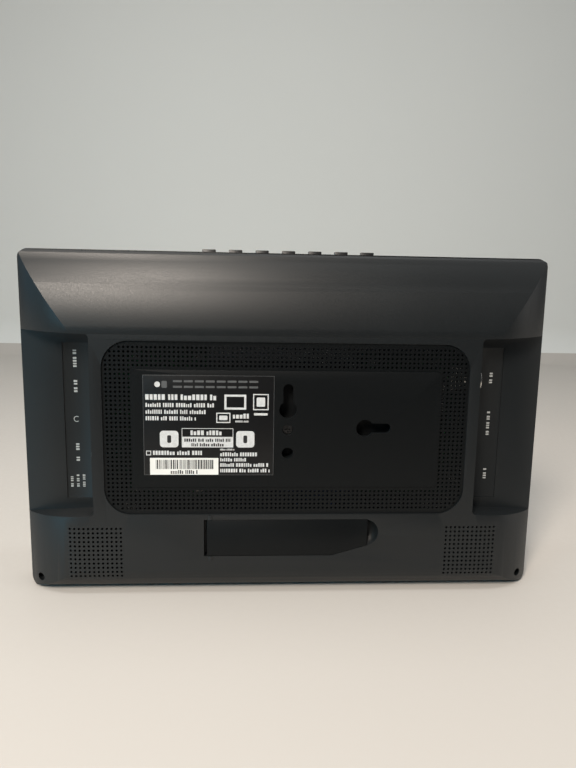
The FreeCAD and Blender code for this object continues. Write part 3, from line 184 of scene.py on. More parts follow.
def textured_plastic(name, colour, rough=(0.37, 0.48), grain=0.01 * MM, gloss=0.42):
    """Moulded plastic with a fine spark-eroded grain, faint flow marks and a dusting of wear."""
    shader = Shader(name)
    broad = shader.noise(14.0, 4.0)
    fine = shader.noise(1900.0, 2.0)
    pits = shader.add("ShaderNodeTexVoronoi", Scale=1500.0)
    shader.link(shader.place, "Object", pits, "Vector")
    shader.colour(broad, shade(colour, 0.86), shade(colour, 1.16))
    shader.roughness(fine, *rough)
    under = shader.bump(pits, grain, "Distance")
    shader.bump(fine, grain, "Fac", under)
    shader.set(Specular_IOR_Level=gloss)
    return shader


def cover_plastic(name, colour):
    """The cover's plastic: the flats inside the band's outline are darker and duller than the rest, while the
    rounded edges and walls there keep the lighter, glossier finish as painted highlight lines.
    """
    shader = textured_plastic(name, colour)
    outline = shader.inside(BAND_HALF_WIDTH, BAND_LOW, BAND_HIGH, BAND_CORNER)
    # Only faces that look straight back are darkened, so the bevels inside the band stay lighter: a painted
    # highlight along those edges.
    geometry = shader.add("ShaderNodeNewGeometry")
    facing = shader.add("ShaderNodeSeparateXYZ")
    flat = shader.add("ShaderNodeMath", operation="GREATER_THAN")
    flat.inputs[1].default_value = 0.985
    field = shader.add("ShaderNodeMath", operation="MULTIPLY")
    shader.link(geometry, "True Normal", facing, "Vector")
    shader.link(facing, "Y", flat, 0)
    shader.link(outline, "Value", field, 0)
    shader.link(flat, "Value", field, 1)
    around = shader.surface.inputs["Base Color"].links[0].from_socket
    darker = shader.add("ShaderNodeMix", data_type="RGBA")
    darker.inputs["B"].default_value = (*shade(colour, 0.45), 1.0)
    shader.link(field, "Value", darker, "Factor")
    shader.tree.links.new(around, darker.inputs["A"])
    shader.tree.links.new(darker.outputs["Result"], shader.surface.inputs["Base Color"])
    duller = shader.add("ShaderNodeMapRange")
    duller.inputs["To Min"].default_value = 0.42
    duller.inputs["To Max"].default_value = 0.20
    shader.link(field, "Value", duller, "Value")
    shader.link(duller, "Result", shader.surface, "Specular IOR Level")
    return shader.material


def smooth_plastic(name, colour, rough=(0.16, 0.26), coat=0.0):
    """Polished or satin plastic with a trace of orange peel and fine dust."""
    shader = Shader(name)
    broad = shader.noise(30.0, 3.0)
    dust = shader.noise(900.0, 5.0)
    shader.colour(broad, shade(colour, 0.9), shade(colour, 1.12))
    shader.roughness(dust, *rough)
    shader.bump(broad, 0.008 * MM)
    shader.set(Coat_Weight=coat, Coat_Roughness=0.08)
    return shader.material


def metal(name, colour, rough=(0.22, 0.38), brushed=(1.0, 1.0, 1.0), grain=0.006 * MM):
    """Plated or rolled metal with fine drawn lines and stains."""
    shader = Shader(name)
    stain = shader.noise(120.0, 4.0)
    lines = shader.noise(900.0, 3.0, brushed)
    shader.colour(stain, shade(colour, 0.84), shade(colour, 1.08))
    shader.roughness(lines, *rough)
    shader.bump(lines, grain)
    shader.set(Metallic=1.0)
    return shader.material


def paper(name, colour, fibre=0.02 * MM):
    shader = Shader(name)
    fibres = shader.noise(700.0, 6.0, (1.0, 1.0, 3.0))
    blotch = shader.noise(60.0, 3.0)
    shader.colour(blotch, shade(colour, 0.93), shade(colour, 1.04))
    shader.roughness(fibres, 0.62, 0.78)
    shader.bump(fibres, fibre)
    return shader.material


def circuit_board(name):
    """Green solder mask over copper traces."""
    shader = Shader(name)
    traces = shader.add("ShaderNodeTexBrick", Scale=160.0)
    traces.inputs["Color1"].default_value = (0.010, 0.085, 0.030, 1.0)
    traces.inputs["Color2"].default_value = (0.012, 0.110, 0.040, 1.0)
    traces.inputs["Mortar"].default_value = (0.030, 0.190, 0.070, 1.0)
    turn = shader.add("ShaderNodeMapping")
    turn.inputs["Rotation"].default_value = (math.radians(90), 0.0, 0.0)
    shader.link(shader.place, "Object", turn, "Vector")
    shader.link(turn, "Vector", traces, "Vector")
    shader.link(traces, "Color", shader.surface, "Base Color")
    dust = shader.noise(400.0, 4.0)
    shader.roughness(dust, 0.25, 0.42)
    shader.bump(traces, 0.03 * MM)
    return shader.material


def screen_glass(name):
    """The switched-off display: a near-black picture area inside a blacker printed border."""
    shader = Shader(name)
    haze = shader.noise(9.0, 2.0)
    grain = shader.noise(2600.0, 2.0)
    picture = shader.add("ShaderNodeVectorMath", operation="ABSOLUTE")
    centre = (case_low + case_high) / 2
    glass_low, glass_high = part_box("lcd_glass")
    centre.z = (glass_low.z + glass_high.z) / 2
    shift = shader.add("ShaderNodeVectorMath", operation="SUBTRACT")
    shift.inputs[1].default_value = centre
    shader.link(shader.place, "Object", shift, 0)
    shader.link(shift, "Vector", picture, 0)
    split = shader.add("ShaderNodeSeparateXYZ")
    shader.link(picture, "Vector", split, "Vector")
    inside_x = shader.add("ShaderNodeMath", operation="LESS_THAN")
    inside_z = shader.add("ShaderNodeMath", operation="LESS_THAN")
    inside_x.inputs[1].default_value = PICTURE_WIDTH / 2
    inside_z.inputs[1].default_value = PICTURE_HEIGHT / 2
    shader.link(split, "X", inside_x, 0)
    shader.link(split, "Z", inside_z, 0)
    both = shader.add("ShaderNodeMath", operation="MULTIPLY")
    shader.link(inside_x, "Value", both, 0)
    shader.link(inside_z, "Value", both, 1)
    border = shader.add("ShaderNodeMix", data_type="RGBA")
    border.inputs["A"].default_value = (0.002, 0.002, 0.002, 1.0)
    colour, socket = shader.ramp(haze, "Fac", (0.011, 0.012, 0.015), (0.015, 0.016, 0.020))
    shader.link(both, "Value", border, "Factor")
    shader.tree.links.new(colour.outputs[socket], border.inputs["B"])
    shader.tree.links.new(border.outputs["Result"], shader.surface.inputs["Base Color"])
    shader.roughness(grain, 0.13, 0.22)
    shader.bump(grain, 0.002 * MM)
    return shader.material


def printed_film(name, colour):
    """Black label film with a slight wave and a satin varnish."""
    shader = Shader(name)
    wave = shader.noise(55.0, 2.0)
    grain = shader.noise(1300.0, 3.0)
    shader.colour(wave, shade(colour, 0.8), shade(colour, 1.25))
    shader.roughness(grain, 0.30, 0.42)
    shader.bump(wave, 0.05 * MM)
    shader.set(Specular_IOR_Level=0.3)
    return shader.material


def ink(name, colour):
    """Screen-printed ink, a little uneven."""
    shader = Shader(name)
    blot = shader.noise(1200.0, 4.0)
    shader.colour(blot, shade(colour, 0.86), shade(colour, 1.05))
    shader.roughness(blot, 0.42, 0.6)
    shader.bump(blot, 0.005 * MM)
    return shader.material


CHARCOAL = (0.0062, 0.0078, 0.0087)
FINISHES = {
    "cover": cover_plastic("charcoal_grain", CHARCOAL),
    "leg": textured_plastic("leg_grain", shade(CHARCOAL, 0.5), gloss=0.18).material,
    "housing": smooth_plastic("housing_black", (0.0075, 0.0078, 0.0085), rough=(0.24, 0.36)),
    "key": smooth_plastic("key_black", (0.007, 0.007, 0.0075), rough=(0.34, 0.46)),
    "port": smooth_plastic("port_black", (0.008, 0.008, 0.009), rough=(0.35, 0.5)),
    "chip": smooth_plastic("chip_black", (0.02, 0.02, 0.022), rough=(0.5, 0.65)),
    "battery": smooth_plastic("battery_wrap", (0.03, 0.07, 0.22), rough=(0.25, 0.4)),
    "ribbon": smooth_plastic("ribbon_white", (0.72, 0.71, 0.66), rough=(0.35, 0.5)),
    "ir": smooth_plastic("ir_dark_red", (0.022, 0.003, 0.005), rough=(0.06, 0.12), coat=0.4),
    "lamp": smooth_plastic("lamp_red", (0.42, 0.02, 0.02), rough=(0.15, 0.25), coat=0.3),
    "steel": metal("zinc_steel", (0.60, 0.61, 0.62), brushed=(12.0, 1.0, 1.0)),
    "module": metal("module_frame", (0.55, 0.56, 0.58), rough=(0.3, 0.45), brushed=(1.0, 1.0, 8.0)),
    "screw": metal("screw_nickel", (0.50, 0.49, 0.47), rough=(0.2, 0.34)),
    "black_screw": metal("screw_black", (0.075, 0.073, 0.072), rough=(0.25, 0.4)),
    "brass": metal("turned_brass", (0.78, 0.60, 0.30), brushed=(1.0, 14.0, 1.0)),
    "sink": metal("sink_black", (0.06, 0.06, 0.065), rough=(0.35, 0.5), brushed=(1.0, 1.0, 10.0)),
    "tin": metal("tin_plate", (0.66, 0.66, 0.64), rough=(0.26, 0.42)),
    "nickel": metal("port_nickel", (0.72, 0.70, 0.66), rough=(0.16, 0.28)),
    "gold": metal("contact_gold", (0.95, 0.72, 0.32), rough=(0.14, 0.24)),
    "cone": paper("pressed_paper", (0.02, 0.02, 0.02), 0.05 * MM),
    "sticker": paper("sticker_white", (0.78, 0.78, 0.75)),
    "board": circuit_board("green_board"),
    "screen": screen_glass("dark_screen"),
    "film": printed_film("label_film", (0.0045, 0.0046, 0.005)),
    "white_ink": ink("white_ink", (0.62, 0.63, 0.63)),
    "grey_ink": ink("grey_ink", (0.085, 0.088, 0.09)),
    "dark_ink": ink("dark_ink", (0.012, 0.012, 0.013)),
    "legend_ink": ink("legend_ink", (0.36, 0.38, 0.38)),
}

NODE_FINISHES = {
    "housing": ("front_housing",),
    "leg": ("kickstand",),
    "port": ("av_out_jack", "av_in_jack", "headphone_jack", "dc_jack", "power_switch_knob", "tact_switches"),
    "chip": ("main_chip",),
    "battery": ("battery_pack",),
    "ribbon": ("lcd_ribbon",),
    "ir": ("ir_window",),
    "lamp": ("status_led",),
    "steel": ("chassis_plate", "speaker_left", "speaker_right"),
    "module": ("lcd_frame",),
    "screw": ("chassis_screws", "board_screws", "kickstand_pin"),
    "black_screw": ("centre_screw", "case_screws"),
    "brass": ("board_standoffs", "centre_standoff"),
    "sink": ("heat_sink",),
    "tin": ("tuner_can",),
    "nickel": ("hdmi_socket", "usb_socket", "antenna_socket", "power_switch_body"),
    "cone": ("speaker_cone_left", "speaker_cone_right"),
    "sticker": ("barcode_sticker",),
    "board": ("main_board", "io_board", "button_board", "sensor_board"),
    "screen": ("lcd_glass",),
    "film": ("rating_label",),
}

# Edge rounding of the CAD nodes that show, in millimetres. The rest keep their sharp edges.
NODE_BEVELS = {
    "front_housing": 0.35,
    "kickstand": 0.3,
    "power_switch_knob": 0.15,
    "av_out_jack": 0.2,
    "av_in_jack": 0.2,
    "headphone_jack": 0.2,
    "dc_jack": 0.25,
    "antenna_socket": 0.12,
    "hdmi_socket": 0.1,
    "usb_socket": 0.1,
    "ir_window": 0.15,
    "rating_label": 0.05,
}

# -------------------------------------------------------------------- mesh helpers


def new_piece(name, mesh, finish, body=CABINET):
    """A finished piece that rides on a body."""
    piece = bpy.data.objects.new(name, mesh)
    bpy.context.scene.collection.objects.link(piece)
    mesh.materials.clear()
    mesh.materials.append(FINISHES[finish])
    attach(piece, body)
    return piece


def smooth(mesh, angle=28.0):
    """Smooth shading that breaks at edges sharper than an angle in degrees."""
    if "custom_normal" in mesh.attributes:
        mesh.attributes.remove(mesh.attributes["custom_normal"])
    mesh.polygons.foreach_set("use_smooth", [True] * len(mesh.polygons))
    mesh.set_sharp_from_angle(angle=math.radians(angle))


def bake_modifiers(piece):
    """Apply every modifier, leaving a plain mesh."""
    depsgraph = bpy.context.evaluated_depsgraph_get()
    mesh = bpy.data.meshes.new_from_object(piece.evaluated_get(depsgraph))
    piece.modifiers.clear()
    piece.data = mesh
    return mesh


def mesh_of(name, build):
    """A mesh made by a function that fills a bmesh."""
    shape = bmesh.new()
    build(shape)
    bmesh.ops.recalc_face_normals(shape, faces=shape.faces)
    mesh = bpy.data.meshes.new(name)
    shape.to_mesh(mesh)
    shape.free()
    return mesh


def add_prism(shape, points, low_y, high_y):
    """Extrude a closed outline of (x, z) points from one Y to another."""
    front = [shape.verts.new((x, low_y, z)) for x, z in points]
    back = [shape.verts.new((x, high_y, z)) for x, z in points]
    shape.faces.new(front)
    shape.faces.new(list(reversed(back)))
    count = len(points)
    for index in range(count):
        following = (index + 1) % count
        shape.faces.new((front[index], back[index], back[following], front[following]))


def round_points(x, z, radius, sides):
    return [(x + radius * math.cos(math.tau * step / sides), z + radius * math.sin(math.tau * step / sides))
            for step in range(sides)]


def corner_points(left, right, low, high, corner, steps=4):
    """A round-cornered rectangle as a list of (x, z)."""
    corner = min(corner, (right - left) / 2.001, (high - low) / 2.001)
    points = []
    middles = ((right - corner, high - corner), (left + corner, high - corner),
               (left + corner, low + corner), (right - corner, low + corner))
    for quarter, (x, z) in enumerate(middles):
        for step in range(steps + 1):
            angle = math.pi / 2 * (quarter + step / steps)
            points.append((x + corner * math.cos(angle), z + corner * math.sin(angle)))
    return points


def cut_with(piece, cutter_mesh):
    """Subtract a mesh from a piece for good."""
    cutter = bpy.data.objects.new("cutter", cutter_mesh)
    bpy.context.scene.collection.objects.link(cutter)
    modifier = piece.modifiers.new("cut", "BOOLEAN")
    modifier.operation = "DIFFERENCE"
    modifier.solver = "MANIFOLD"
    modifier.object = cutter
    bake_modifiers(piece)
    bpy.data.objects.remove(cutter)


def clean_copy(node):
    """A node's mesh with its doubled points joined and its flat faces made whole."""
    mesh = nodes[node].data.copy()
    shape = bmesh.new()
    shape.from_mesh(mesh)
    bmesh.ops.remove_doubles(shape, verts=shape.verts, dist=0.0005 * MM)
    bmesh.ops.dissolve_limit(shape, angle_limit=math.radians(0.4), verts=shape.verts, edges=shape.edges)
    shape.to_mesh(mesh)
    shape.free()
    return mesh


def round_edges(piece, width, sharp=35.0, shortest=0.9 * MM):
    """Round the long sharp edges of a piece and leave its small holes alone."""
    shape = bmesh.new()
    shape.from_mesh(piece.data)
    weights = shape.edges.layers.float.new("bevel_weight_edge")
    for edge in shape.edges:
        if len(edge.link_faces) == 2 and edge.calc_length() > shortest:
            if edge.calc_face_angle() > math.radians(sharp):
                edge[weights] = 1.0
    shape.to_mesh(piece.data)
    shape.free()
    modifier = piece.modifiers.new("edges", "BEVEL")
    modifier.limit_method = "WEIGHT"
    modifier.width = width
    modifier.segments = 2
    modifier.use_clamp_overlap = True
    bake_modifiers(piece)


# ------------------------------------------------------------------- CAD nodes


def finish_nodes():
    for finish, names in NODE_FINISHES.items():
        for name in names:
            node = nodes[name]
            node.data.materials.clear()
            node.data.materials.append(FINISHES[finish])
            if name not in NODE_BEVELS:
                continue
            weld = node.modifiers.new("weld", "WELD")
            weld.merge_threshold = 0.0005 * MM
            edges = node.modifiers.new("edges", "BEVEL")
            edges.limit_method = "ANGLE"
            edges.angle_limit = math.radians(40)
            edges.width = NODE_BEVELS[name] * MM
            edges.segments = 3
            edges.harden_normals = False
            smooth(node.data, 40)


# ------------------------------------------------------------------ rear cover


def in_round_rectangle(x, z, half_width, half_height, corner, margin):
    """Whether a point lies inside a round-cornered rectangle, at least a margin from its edge."""
    over_x = max(abs(x) - (half_width - corner), 0)
    over_z = max(abs(z) - (half_height - corner), 0)
    return math.hypot(over_x, over_z) <= corner - margin


def band_holes():
    """Centres of the holes between the band's edge and the island."""
    middle = (BAND_LOW + BAND_HIGH) / 2
    half_height = (BAND_HIGH - BAND_LOW) / 2
    columns = int(BAND_HALF_WIDTH / HOLE_PITCH) + 1
    rows = int(half_height / HOLE_PITCH) + 1
    places = []
    for column in range(-columns, columns):
        for row in range(-rows, rows):
            x = (column + 0.5) * HOLE_PITCH
            z = (row + 0.5) * HOLE_PITCH + middle
            on_band = in_round_rectangle(x, z - middle, BAND_HALF_WIDTH, half_height, BAND_CORNER,
                                         1.6 * HOLE_RADIUS)
            beside = abs(x) > ISLAND_HALF_WIDTH + HOLE_RADIUS
            beside = beside or not ISLAND_LOW - HOLE_RADIUS < z < ISLAND_HIGH + HOLE_RADIUS
            if on_band and beside:
                places.append((x, z))
    return places


def divide_band(mesh):
    """Split the band's floor between the rows of holes, so that each cell gets one hole."""
    shape = bmesh.new()
    shape.from_mesh(mesh)
    bmesh.ops.triangulate(shape, faces=shape.faces)
    levels = (BACK_Y - BAND_DEPTH, BACK_Y - COVER_WALL)
    middle = (BAND_LOW + BAND_HIGH) / 2
    columns = int(BAND_HALF_WIDTH / HOLE_PITCH) + 1
    rows = int((BAND_HIGH - BAND_LOW) / 2 / HOLE_PITCH) + 1
    reach_x = BAND_HALF_WIDTH + 6.0 * MM
    reach_z = 52.0 * MM

    def near_band(face):
        centre = face.calc_center_median()
        off_level = min(abs(centre.y - level) for level in levels)
        flat = abs(face.normal.y) > 0.99 and off_level < 0.02 * MM
        return flat and abs(centre.x) < reach_x and abs(centre.z - middle) < reach_z

    cuts = [(Vector((step * HOLE_PITCH, 0, 0)), Vector((1, 0, 0))) for step in range(-columns, columns + 1)]
    for step in range(-rows, rows + 1):
        cuts.append((Vector((0, 0, middle + step * HOLE_PITCH)), Vector((0, 0, 1))))
    region = [face for face in shape.faces if near_band(face)]
    for place, direction in cuts:
        edges = {edge for face in region for edge in face.edges}
        points = {vert for face in region for vert in face.verts}
        result = bmesh.ops.bisect_plane(shape, geom=[*points, *edges, *region], dist=1e-7,
                                        plane_co=place, plane_no=direction)
        region = [item for item in result["geom"] if isinstance(item, bmesh.types.BMFace)]
    shape.to_mesh(mesh)
    shape.free()


def keep_mitres(mesh):
    """Keep a crisp line where a side slope meets the top or bottom slope, however shallow it is."""
    straight = 0.02
    backward = 0.4
    least_turn = math.radians(2.5)
    shape = bmesh.new()
    shape.from_mesh(mesh)
    for edge in shape.edges:
        if len(edge.link_faces) != 2:
            continue
        first, second = (face.normal for face in edge.link_faces)
        if min(first.y, second.y) < backward or first.angle(second, 0.0) < least_turn:
            continue
        sideways = sorted((abs(first.x), abs(second.x)))
        upward = sorted((abs(first.z), abs(second.z)))
        if sideways[0] < straight < sideways[1] and upward[0] < straight < upward[1]:
            edge.smooth = False
    shape.to_mesh(mesh)
    shape.free()


def build_cover():
    """The cover with rounded edges and the band's holes, in place of the plain solid."""
    mesh = clean_copy("rear_cover")
    cover = new_piece("rear_cover_shell", mesh, "cover")
    round_edges(cover, COVER_EDGE)
    divide_band(cover.data)

    def cutters(shape):
        for x, z in band_holes():
            outline = round_points(x, z, HOLE_RADIUS, HOLE_SIDES)
            add_prism(shape, outline, BACK_Y - COVER_WALL - 0.5 * MM, BACK_Y + MM)

    cut_with(cover, mesh_of("band_holes", cutters))
    cover.data.materials.clear()
    cover.data.materials.append(FINISHES["cover"])
    smooth(cover.data)
    keep_mitres(cover.data)
    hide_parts("rear_cover")
    return cover


# ------------------------------------------------------------------------ keys


def build_keys():
    """Each key with fine ribs cut across its top."""
    for joint in frame["joints"]:
        name = joint["child"]
        if not name.startswith("key_"):
            continue
        low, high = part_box(name)
        key = new_piece(f"{name}_cap", clean_copy(name), "key", name)
        round_edges(key, 0.3 * MM, shortest=0.5 * MM)
        middle = (low.x + high.x) / 2
        rib = 0.72 * MM

        def grooves(shape):
            for index in range(-3, 4):
                x = middle + index * rib
                outline = ((x - 0.17 * MM, high.z + MM),
                           (x, high.z - 0.22 * MM),
                           (x + 0.17 * MM, high.z + MM))
                add_prism(shape, outline, low.y, high.y)

        cut_with(key, mesh_of("grooves", grooves))
        key.data.materials.clear()
        key.data.materials.append(FINISHES["key"])
        smooth(key.data)
        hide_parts(name)


# ---------------------------------------------------------------- printed marks


def mark_piece(name, outlines, base_y, finish, thickness=0.02 * MM):
    """Flat printed marks, each a thin outline standing on a surface that faces +Y."""
    def build(shape):
        for outline in outlines:
            add_prism(shape, outline, base_y, base_y + thickness)
    return new_piece(name, mesh_of(name, build), finish)


class Page:
    """Places on a flat sticker, in millimetres right and down from its corner as seen from behind."""

    def __init__(self, low, high):
        self.left = high.x
        self.top = high.z

    def block(self, left, top, right, bottom, corner=0.15):
        return corner_points(self.left - right * MM, self.left - left * MM,
                             self.top - bottom * MM, self.top - top * MM, corner * MM)

    def disc(self, across, down, radius, sides=28):
        return round_points(self.left - across * MM, self.top - down * MM, radius * MM, sides)

    def words(self, left, top, right, bottom, dice, weight=0.62):
        """A line of plain ticks in groups, which reads as small print from afar."""
        height = bottom - top
        place = left
        ticks = []
        while place < right - height * 0.4:
            for _ in range(dice.randint(3, 8)):
                width = height * dice.uniform(0.28, 0.46) * weight / 0.62
                if place + width > right:
                    break
                rise = height * dice.choice((0.0, 0.0, 0.22))
                ticks.append(self.block(place, top + rise, place + width, bottom, 0.08))
                place += width + height * 0.19
            place += height * 0.38
        return ticks

    def frame(self, left, top, right, bottom, line):
        """A thin rectangular outline as four bars."""
        return [self.block(left, top, right, top + line, 0.01),
                self.block(left, bottom - line, right, bottom, 0.01),
                self.block(left, top + line, left + line, bottom - line, 0.01),
                self.block(right - line, top + line, right, bottom - line, 0.01)]


def build_label():
    """Plain bars, blocks and dots where a maker prints a name, ratings and marks."""
    dice = random.Random(7)
    page = Page(label_low, label_high)
    width = (label_high.x - label_low.x) / MM
    height = (label_high.z - label_low.z) / MM
    white = [page.disc(7.0, 4.6, 1.35)]
    rating_lines = ((9.4, 12.1, 35.2, 0.8),
                    (13.6, 15.6, 35.2, 0.6),
                    (16.9, 18.9, 31.6, 0.6),
                    (20.1, 22.1, 25.8, 0.6))
    for top, bottom, right, weight in rating_lines:
        white += page.words(1.3, top, right, bottom, dice, weight)
    white += page.frame(38.9, 9.3, 49.4, 16.6, 1.0)
    white += page.frame(52.7, 8.9, 60.2, 16.8, 0.5)
    white.append(page.block(54.4, 10.6, 58.5, 15.1, 0.5))
    white.append(page.block(53.2, 18.3, 59.8, 19.4))
    white += page.frame(35.0, 18.2, 41.8, 23.2, 0.5)
    white.append(page.block(36.4, 19.6, 40.4, 21.8, 0.4))
    white += page.words(43.0, 18.6, 51.6, 21.0, dice, 0.8)
    white += page.words(44.2, 22.0, 50.8, 22.9, dice)
    for left in (7.9, 44.6):
        white.append(page.block(left, 27.2, left + 8.9, 35.4, 1.6))
    white += page.frame(18.4, 25.9, 43.2, 30.4, 0.25)
    white += page.words(22.6, 27.0, 39.0, 29.3, dice, 0.85)
    white.append(page.block(18.4, 30.4, 43.2, 35.4, 0.1))
    white += page.frame(1.2, 37.1, 3.6, 39.4, 0.35)
    white += page.words(4.5, 37.1, 28.6, 39.2, dice, 0.7)
    white += page.words(36.9, 36.0, 44.0, 36.9, dice)
    lower_lines = ((37.9, 39.8, 56.3), (40.7, 42.4, 50.4), (43.3, 45.1, 61.4), (46.1, 47.9, 61.6))
    for top, bottom, right in lower_lines:
        white += page.words(36.9, top, right, bottom, dice, 0.7)
    mark_piece("label_print", white, label_high.y, "white_ink")

    grey = page.frame(0.15, 0.15, width - 0.15, height - 0.15, 0.14)
    grey.append(page.block(9.0, 2.9, 11.6, 6.3, 0.6))
    place = 14.4
    for _ in range(8):
        grey.append(page.block(place, 2.5, place + 4.3, 3.5, 0.3))
        grey.append(page.block(place, 5.2, place + 4.3, 6.2, 0.3))
        place += 5.2
    mark_piece("label_title", grey, label_high.y, "grey_ink")

    dark = [page.block(11.4, 29.4, 13.3, 33.2, 0.6), page.block(48.1, 29.4, 50.0, 33.2, 0.6)]
    dark += page.words(19.6, 31.0, 42.0, 32.6, dice, 0.7)
    dark += page.words(23.0, 33.3, 39.0, 34.9, dice, 0.7)
    mark_piece("label_dark_print", dark, label_high.y + 0.02 * MM, "dark_ink")


def build_barcode():
    """Bars of seeded widths and a row of ticks under them."""
    dice = random.Random(21)
    page = Page(sticker_low, sticker_high)
    width = (sticker_high.x - sticker_low.x) / MM
    height = (sticker_high.z - sticker_low.z) / MM
    bars = []
    place = 2.8
    while place < width - 3.0:
        bar = dice.choice((0.22, 0.22, 0.4, 0.62))
        bars.append(page.block(place, 0.9, place + bar, height * 0.66, 0.01))
        place += bar + dice.choice((0.24, 0.3, 0.5))
    bars += page.words(width * 0.3, height * 0.72, width * 0.72, height * 0.95, dice, 0.5)
    mark_piece("barcode_print", bars, sticker_high.y, "dark_ink")


def build_legends():
    """Plain marks beside the sockets, on the sunken strip of each bay."""
    dice = random.Random(5)
    marks = []

    def upward(x, low, high, width):
        """Ticks that run along Z, as a socket's name does."""
        place = low
        while place < high - 0.5 * MM:
            for _ in range(dice.randint(2, 4)):
                tick = width * dice.uniform(0.42, 0.6)
                if place + tick > high:
                    break
                marks.append(corner_points(x - width / 2, x + width / 2, place, place + tick, 0.1 * MM))
                place += tick + width * 0.28
            place += width * 0.55

    left_x = STRIP_X + 6.6 * MM
    heights = {name: mount["pos_m"][2] for name, mount in mounts.items()}
    upward(left_x, heights["av_out_socket"] - 4.6 * MM, heights["av_out_socket"] + 5.2 * MM, 1.7 * MM)
    upward(left_x, heights["av_in_socket"] - 3.4 * MM, heights["av_in_socket"] + 3.4 * MM, 1.7 * MM)
    switch_z = heights["headphone_socket"] - SWITCH_BELOW_HEADPHONES
    upward(left_x, switch_z + 1.4 * MM, switch_z + 5.6 * MM, 1.7 * MM)
    upward(left_x, switch_z - 4.2 * MM, switch_z - 1.0 * MM, 1.7 * MM)
    dc_z = heights["dc_socket"]
    for shift in (-2.6, 0.4, 3.4):
        upward(left_x + shift * MM, dc_z - 3.6 * MM, dc_z + 3.2 * MM, 1.3 * MM)
    ring_z = heights["headphone_socket"]
    arc = [(left_x + 1.5 * MM * math.cos(angle), ring_z + 1.5 * MM * math.sin(angle))
           for angle in (math.radians(step) for step in range(-130, 131, 13))]
    inner = [(left_x + 1.15 * MM * math.cos(angle), ring_z + 1.15 * MM * math.sin(angle))
             for angle in (math.radians(step) for step in range(130, -131, -13))]
    marks.append(arc + inner)
    right_x = -left_x
    upward(right_x, heights["antenna_socket"] - 3.0 * MM, heights["antenna_socket"] + 2.6 * MM, 1.6 * MM)
    upward(right_x, heights["hdmi_socket"] - 6.6 * MM, heights["hdmi_socket"] + 6.6 * MM, 1.6 * MM)
    upward(right_x, heights["usb_socket"] - 2.8 * MM, heights["usb_socket"] + 2.8 * MM, 1.6 * MM)
    mark_piece("bay_legends", marks, STRIP_Y, "legend_ink")


# ------------------------------------------------------------------ small parts


def build_contacts():
    """Gilded contact fingers on the tongues of the two right-hand sockets."""
    sockets = (("hdmi_socket", 9, 1.05, 0.45, 1.2), ("usb_socket", 4, 2.3, 1.1, 1.9))
    for name, count, pitch, width, tongue in sockets:
        x, y, z = mounts[name]["pos_m"]
        outer = x + 1.4 * MM
        inner = x + 8.0 * MM

        def build(shape):
            for index in range(count):
                centre = z + (index - (count - 1) / 2) * pitch * MM
                outline = ((outer, centre - width * MM / 2), (inner, centre - width * MM / 2),
                           (inner, centre + width * MM / 2), (outer, centre + width * MM / 2))
                add_prism(shape, outline, y + tongue * MM / 2, y + (tongue / 2 + 0.06) * MM)

        new_piece(f"{name}_contacts", mesh_of(f"{name}_contacts", build), "gold")


# ---------------------------------------------------------------- floor and light

FLOOR_REACH = 3.0
WALL_DISTANCE = 1.20
WALL_BEND = 0.09
WALL_TURN = math.radians(-4)
TABLE_EDGE = 0.215


def paint(name, colour, rough):
    """Matt paint with faint clouds and a fine roller texture."""
    shader = Shader(name)
    cloud = shader.noise(1.3, 2.0)
    roller = shader.noise(260.0, 3.0)
    shader.colour(cloud, shade(colour, 0.975), colour)
    shader.roughness(roller, *rough)
    shader.bump(roller, 0.01 * MM)
    shader.surface.inputs["Specular IOR Level"].default_value = 0.25
    return shader.material


def build_stage():
    """A white table that curves up into a pale wall askew behind the object, and in front a near-black floor that
    stands in for the unlit room, a painted shade.
    """
    shape = bmesh.new()
    steps = 12
    profile = [(FLOOR_REACH, 0.0), (TABLE_EDGE, 0.0)]
    for step in range(steps + 1):
        angle = math.pi / 2 * step / steps
        y = WALL_BEND * (1 - math.sin(angle)) - WALL_DISTANCE
        profile.append((y, WALL_BEND * (1 - math.cos(angle))))
    profile.append((-WALL_DISTANCE, FLOOR_REACH))
    left = [shape.verts.new((-FLOOR_REACH, y, z)) for y, z in profile]
    right = [shape.verts.new((FLOOR_REACH, y, z)) for y, z in profile]
    for index in range(len(profile) - 1):
        face = shape.faces.new((left[index], right[index], right[index + 1], left[index + 1]))
        face.material_index = 2 if index == 0 else int(index > steps // 2 + 1)
    bmesh.ops.rotate(shape, verts=shape.verts, cent=(0, 0, 0), matrix=Matrix.Rotation(WALL_TURN, 3, "Z"))
    mesh = bpy.data.meshes.new("table_and_wall")
    shape.to_mesh(mesh)
    shape.free()
    mesh.polygons.foreach_set("use_smooth", [True] * len(mesh.polygons))
    mesh.materials.append(paint("table_white", (0.55, 0.52, 0.485), (0.45, 0.6)))
    mesh.materials.append(paint("wall_pale", (0.80, 0.82, 0.80), (0.6, 0.75)))
    # Painted shade: the floor in front of the table is near-black to stand in for the unlit room towards the
    # viewer.
    mesh.materials.append(paint("room_dark", (0.05, 0.052, 0.055), (0.6, 0.75)))
    stage = bpy.data.objects.new("table_and_wall", mesh)
    bpy.context.scene.collection.objects.link(stage)


def area_light(name, place, target, size, power, colour):
    lamp = bpy.data.lights.new(name, "AREA")
    lamp.shape = "RECTANGLE"
    lamp.size, lamp.size_y = size
    lamp.energy = power
    lamp.color = colour
    item = bpy.data.objects.new(name, lamp)
    item.location = place
    item.rotation_euler = (Vector(target) - Vector(place)).to_track_quat("-Z", "Y").to_euler()
    bpy.context.scene.collection.objects.link(item)


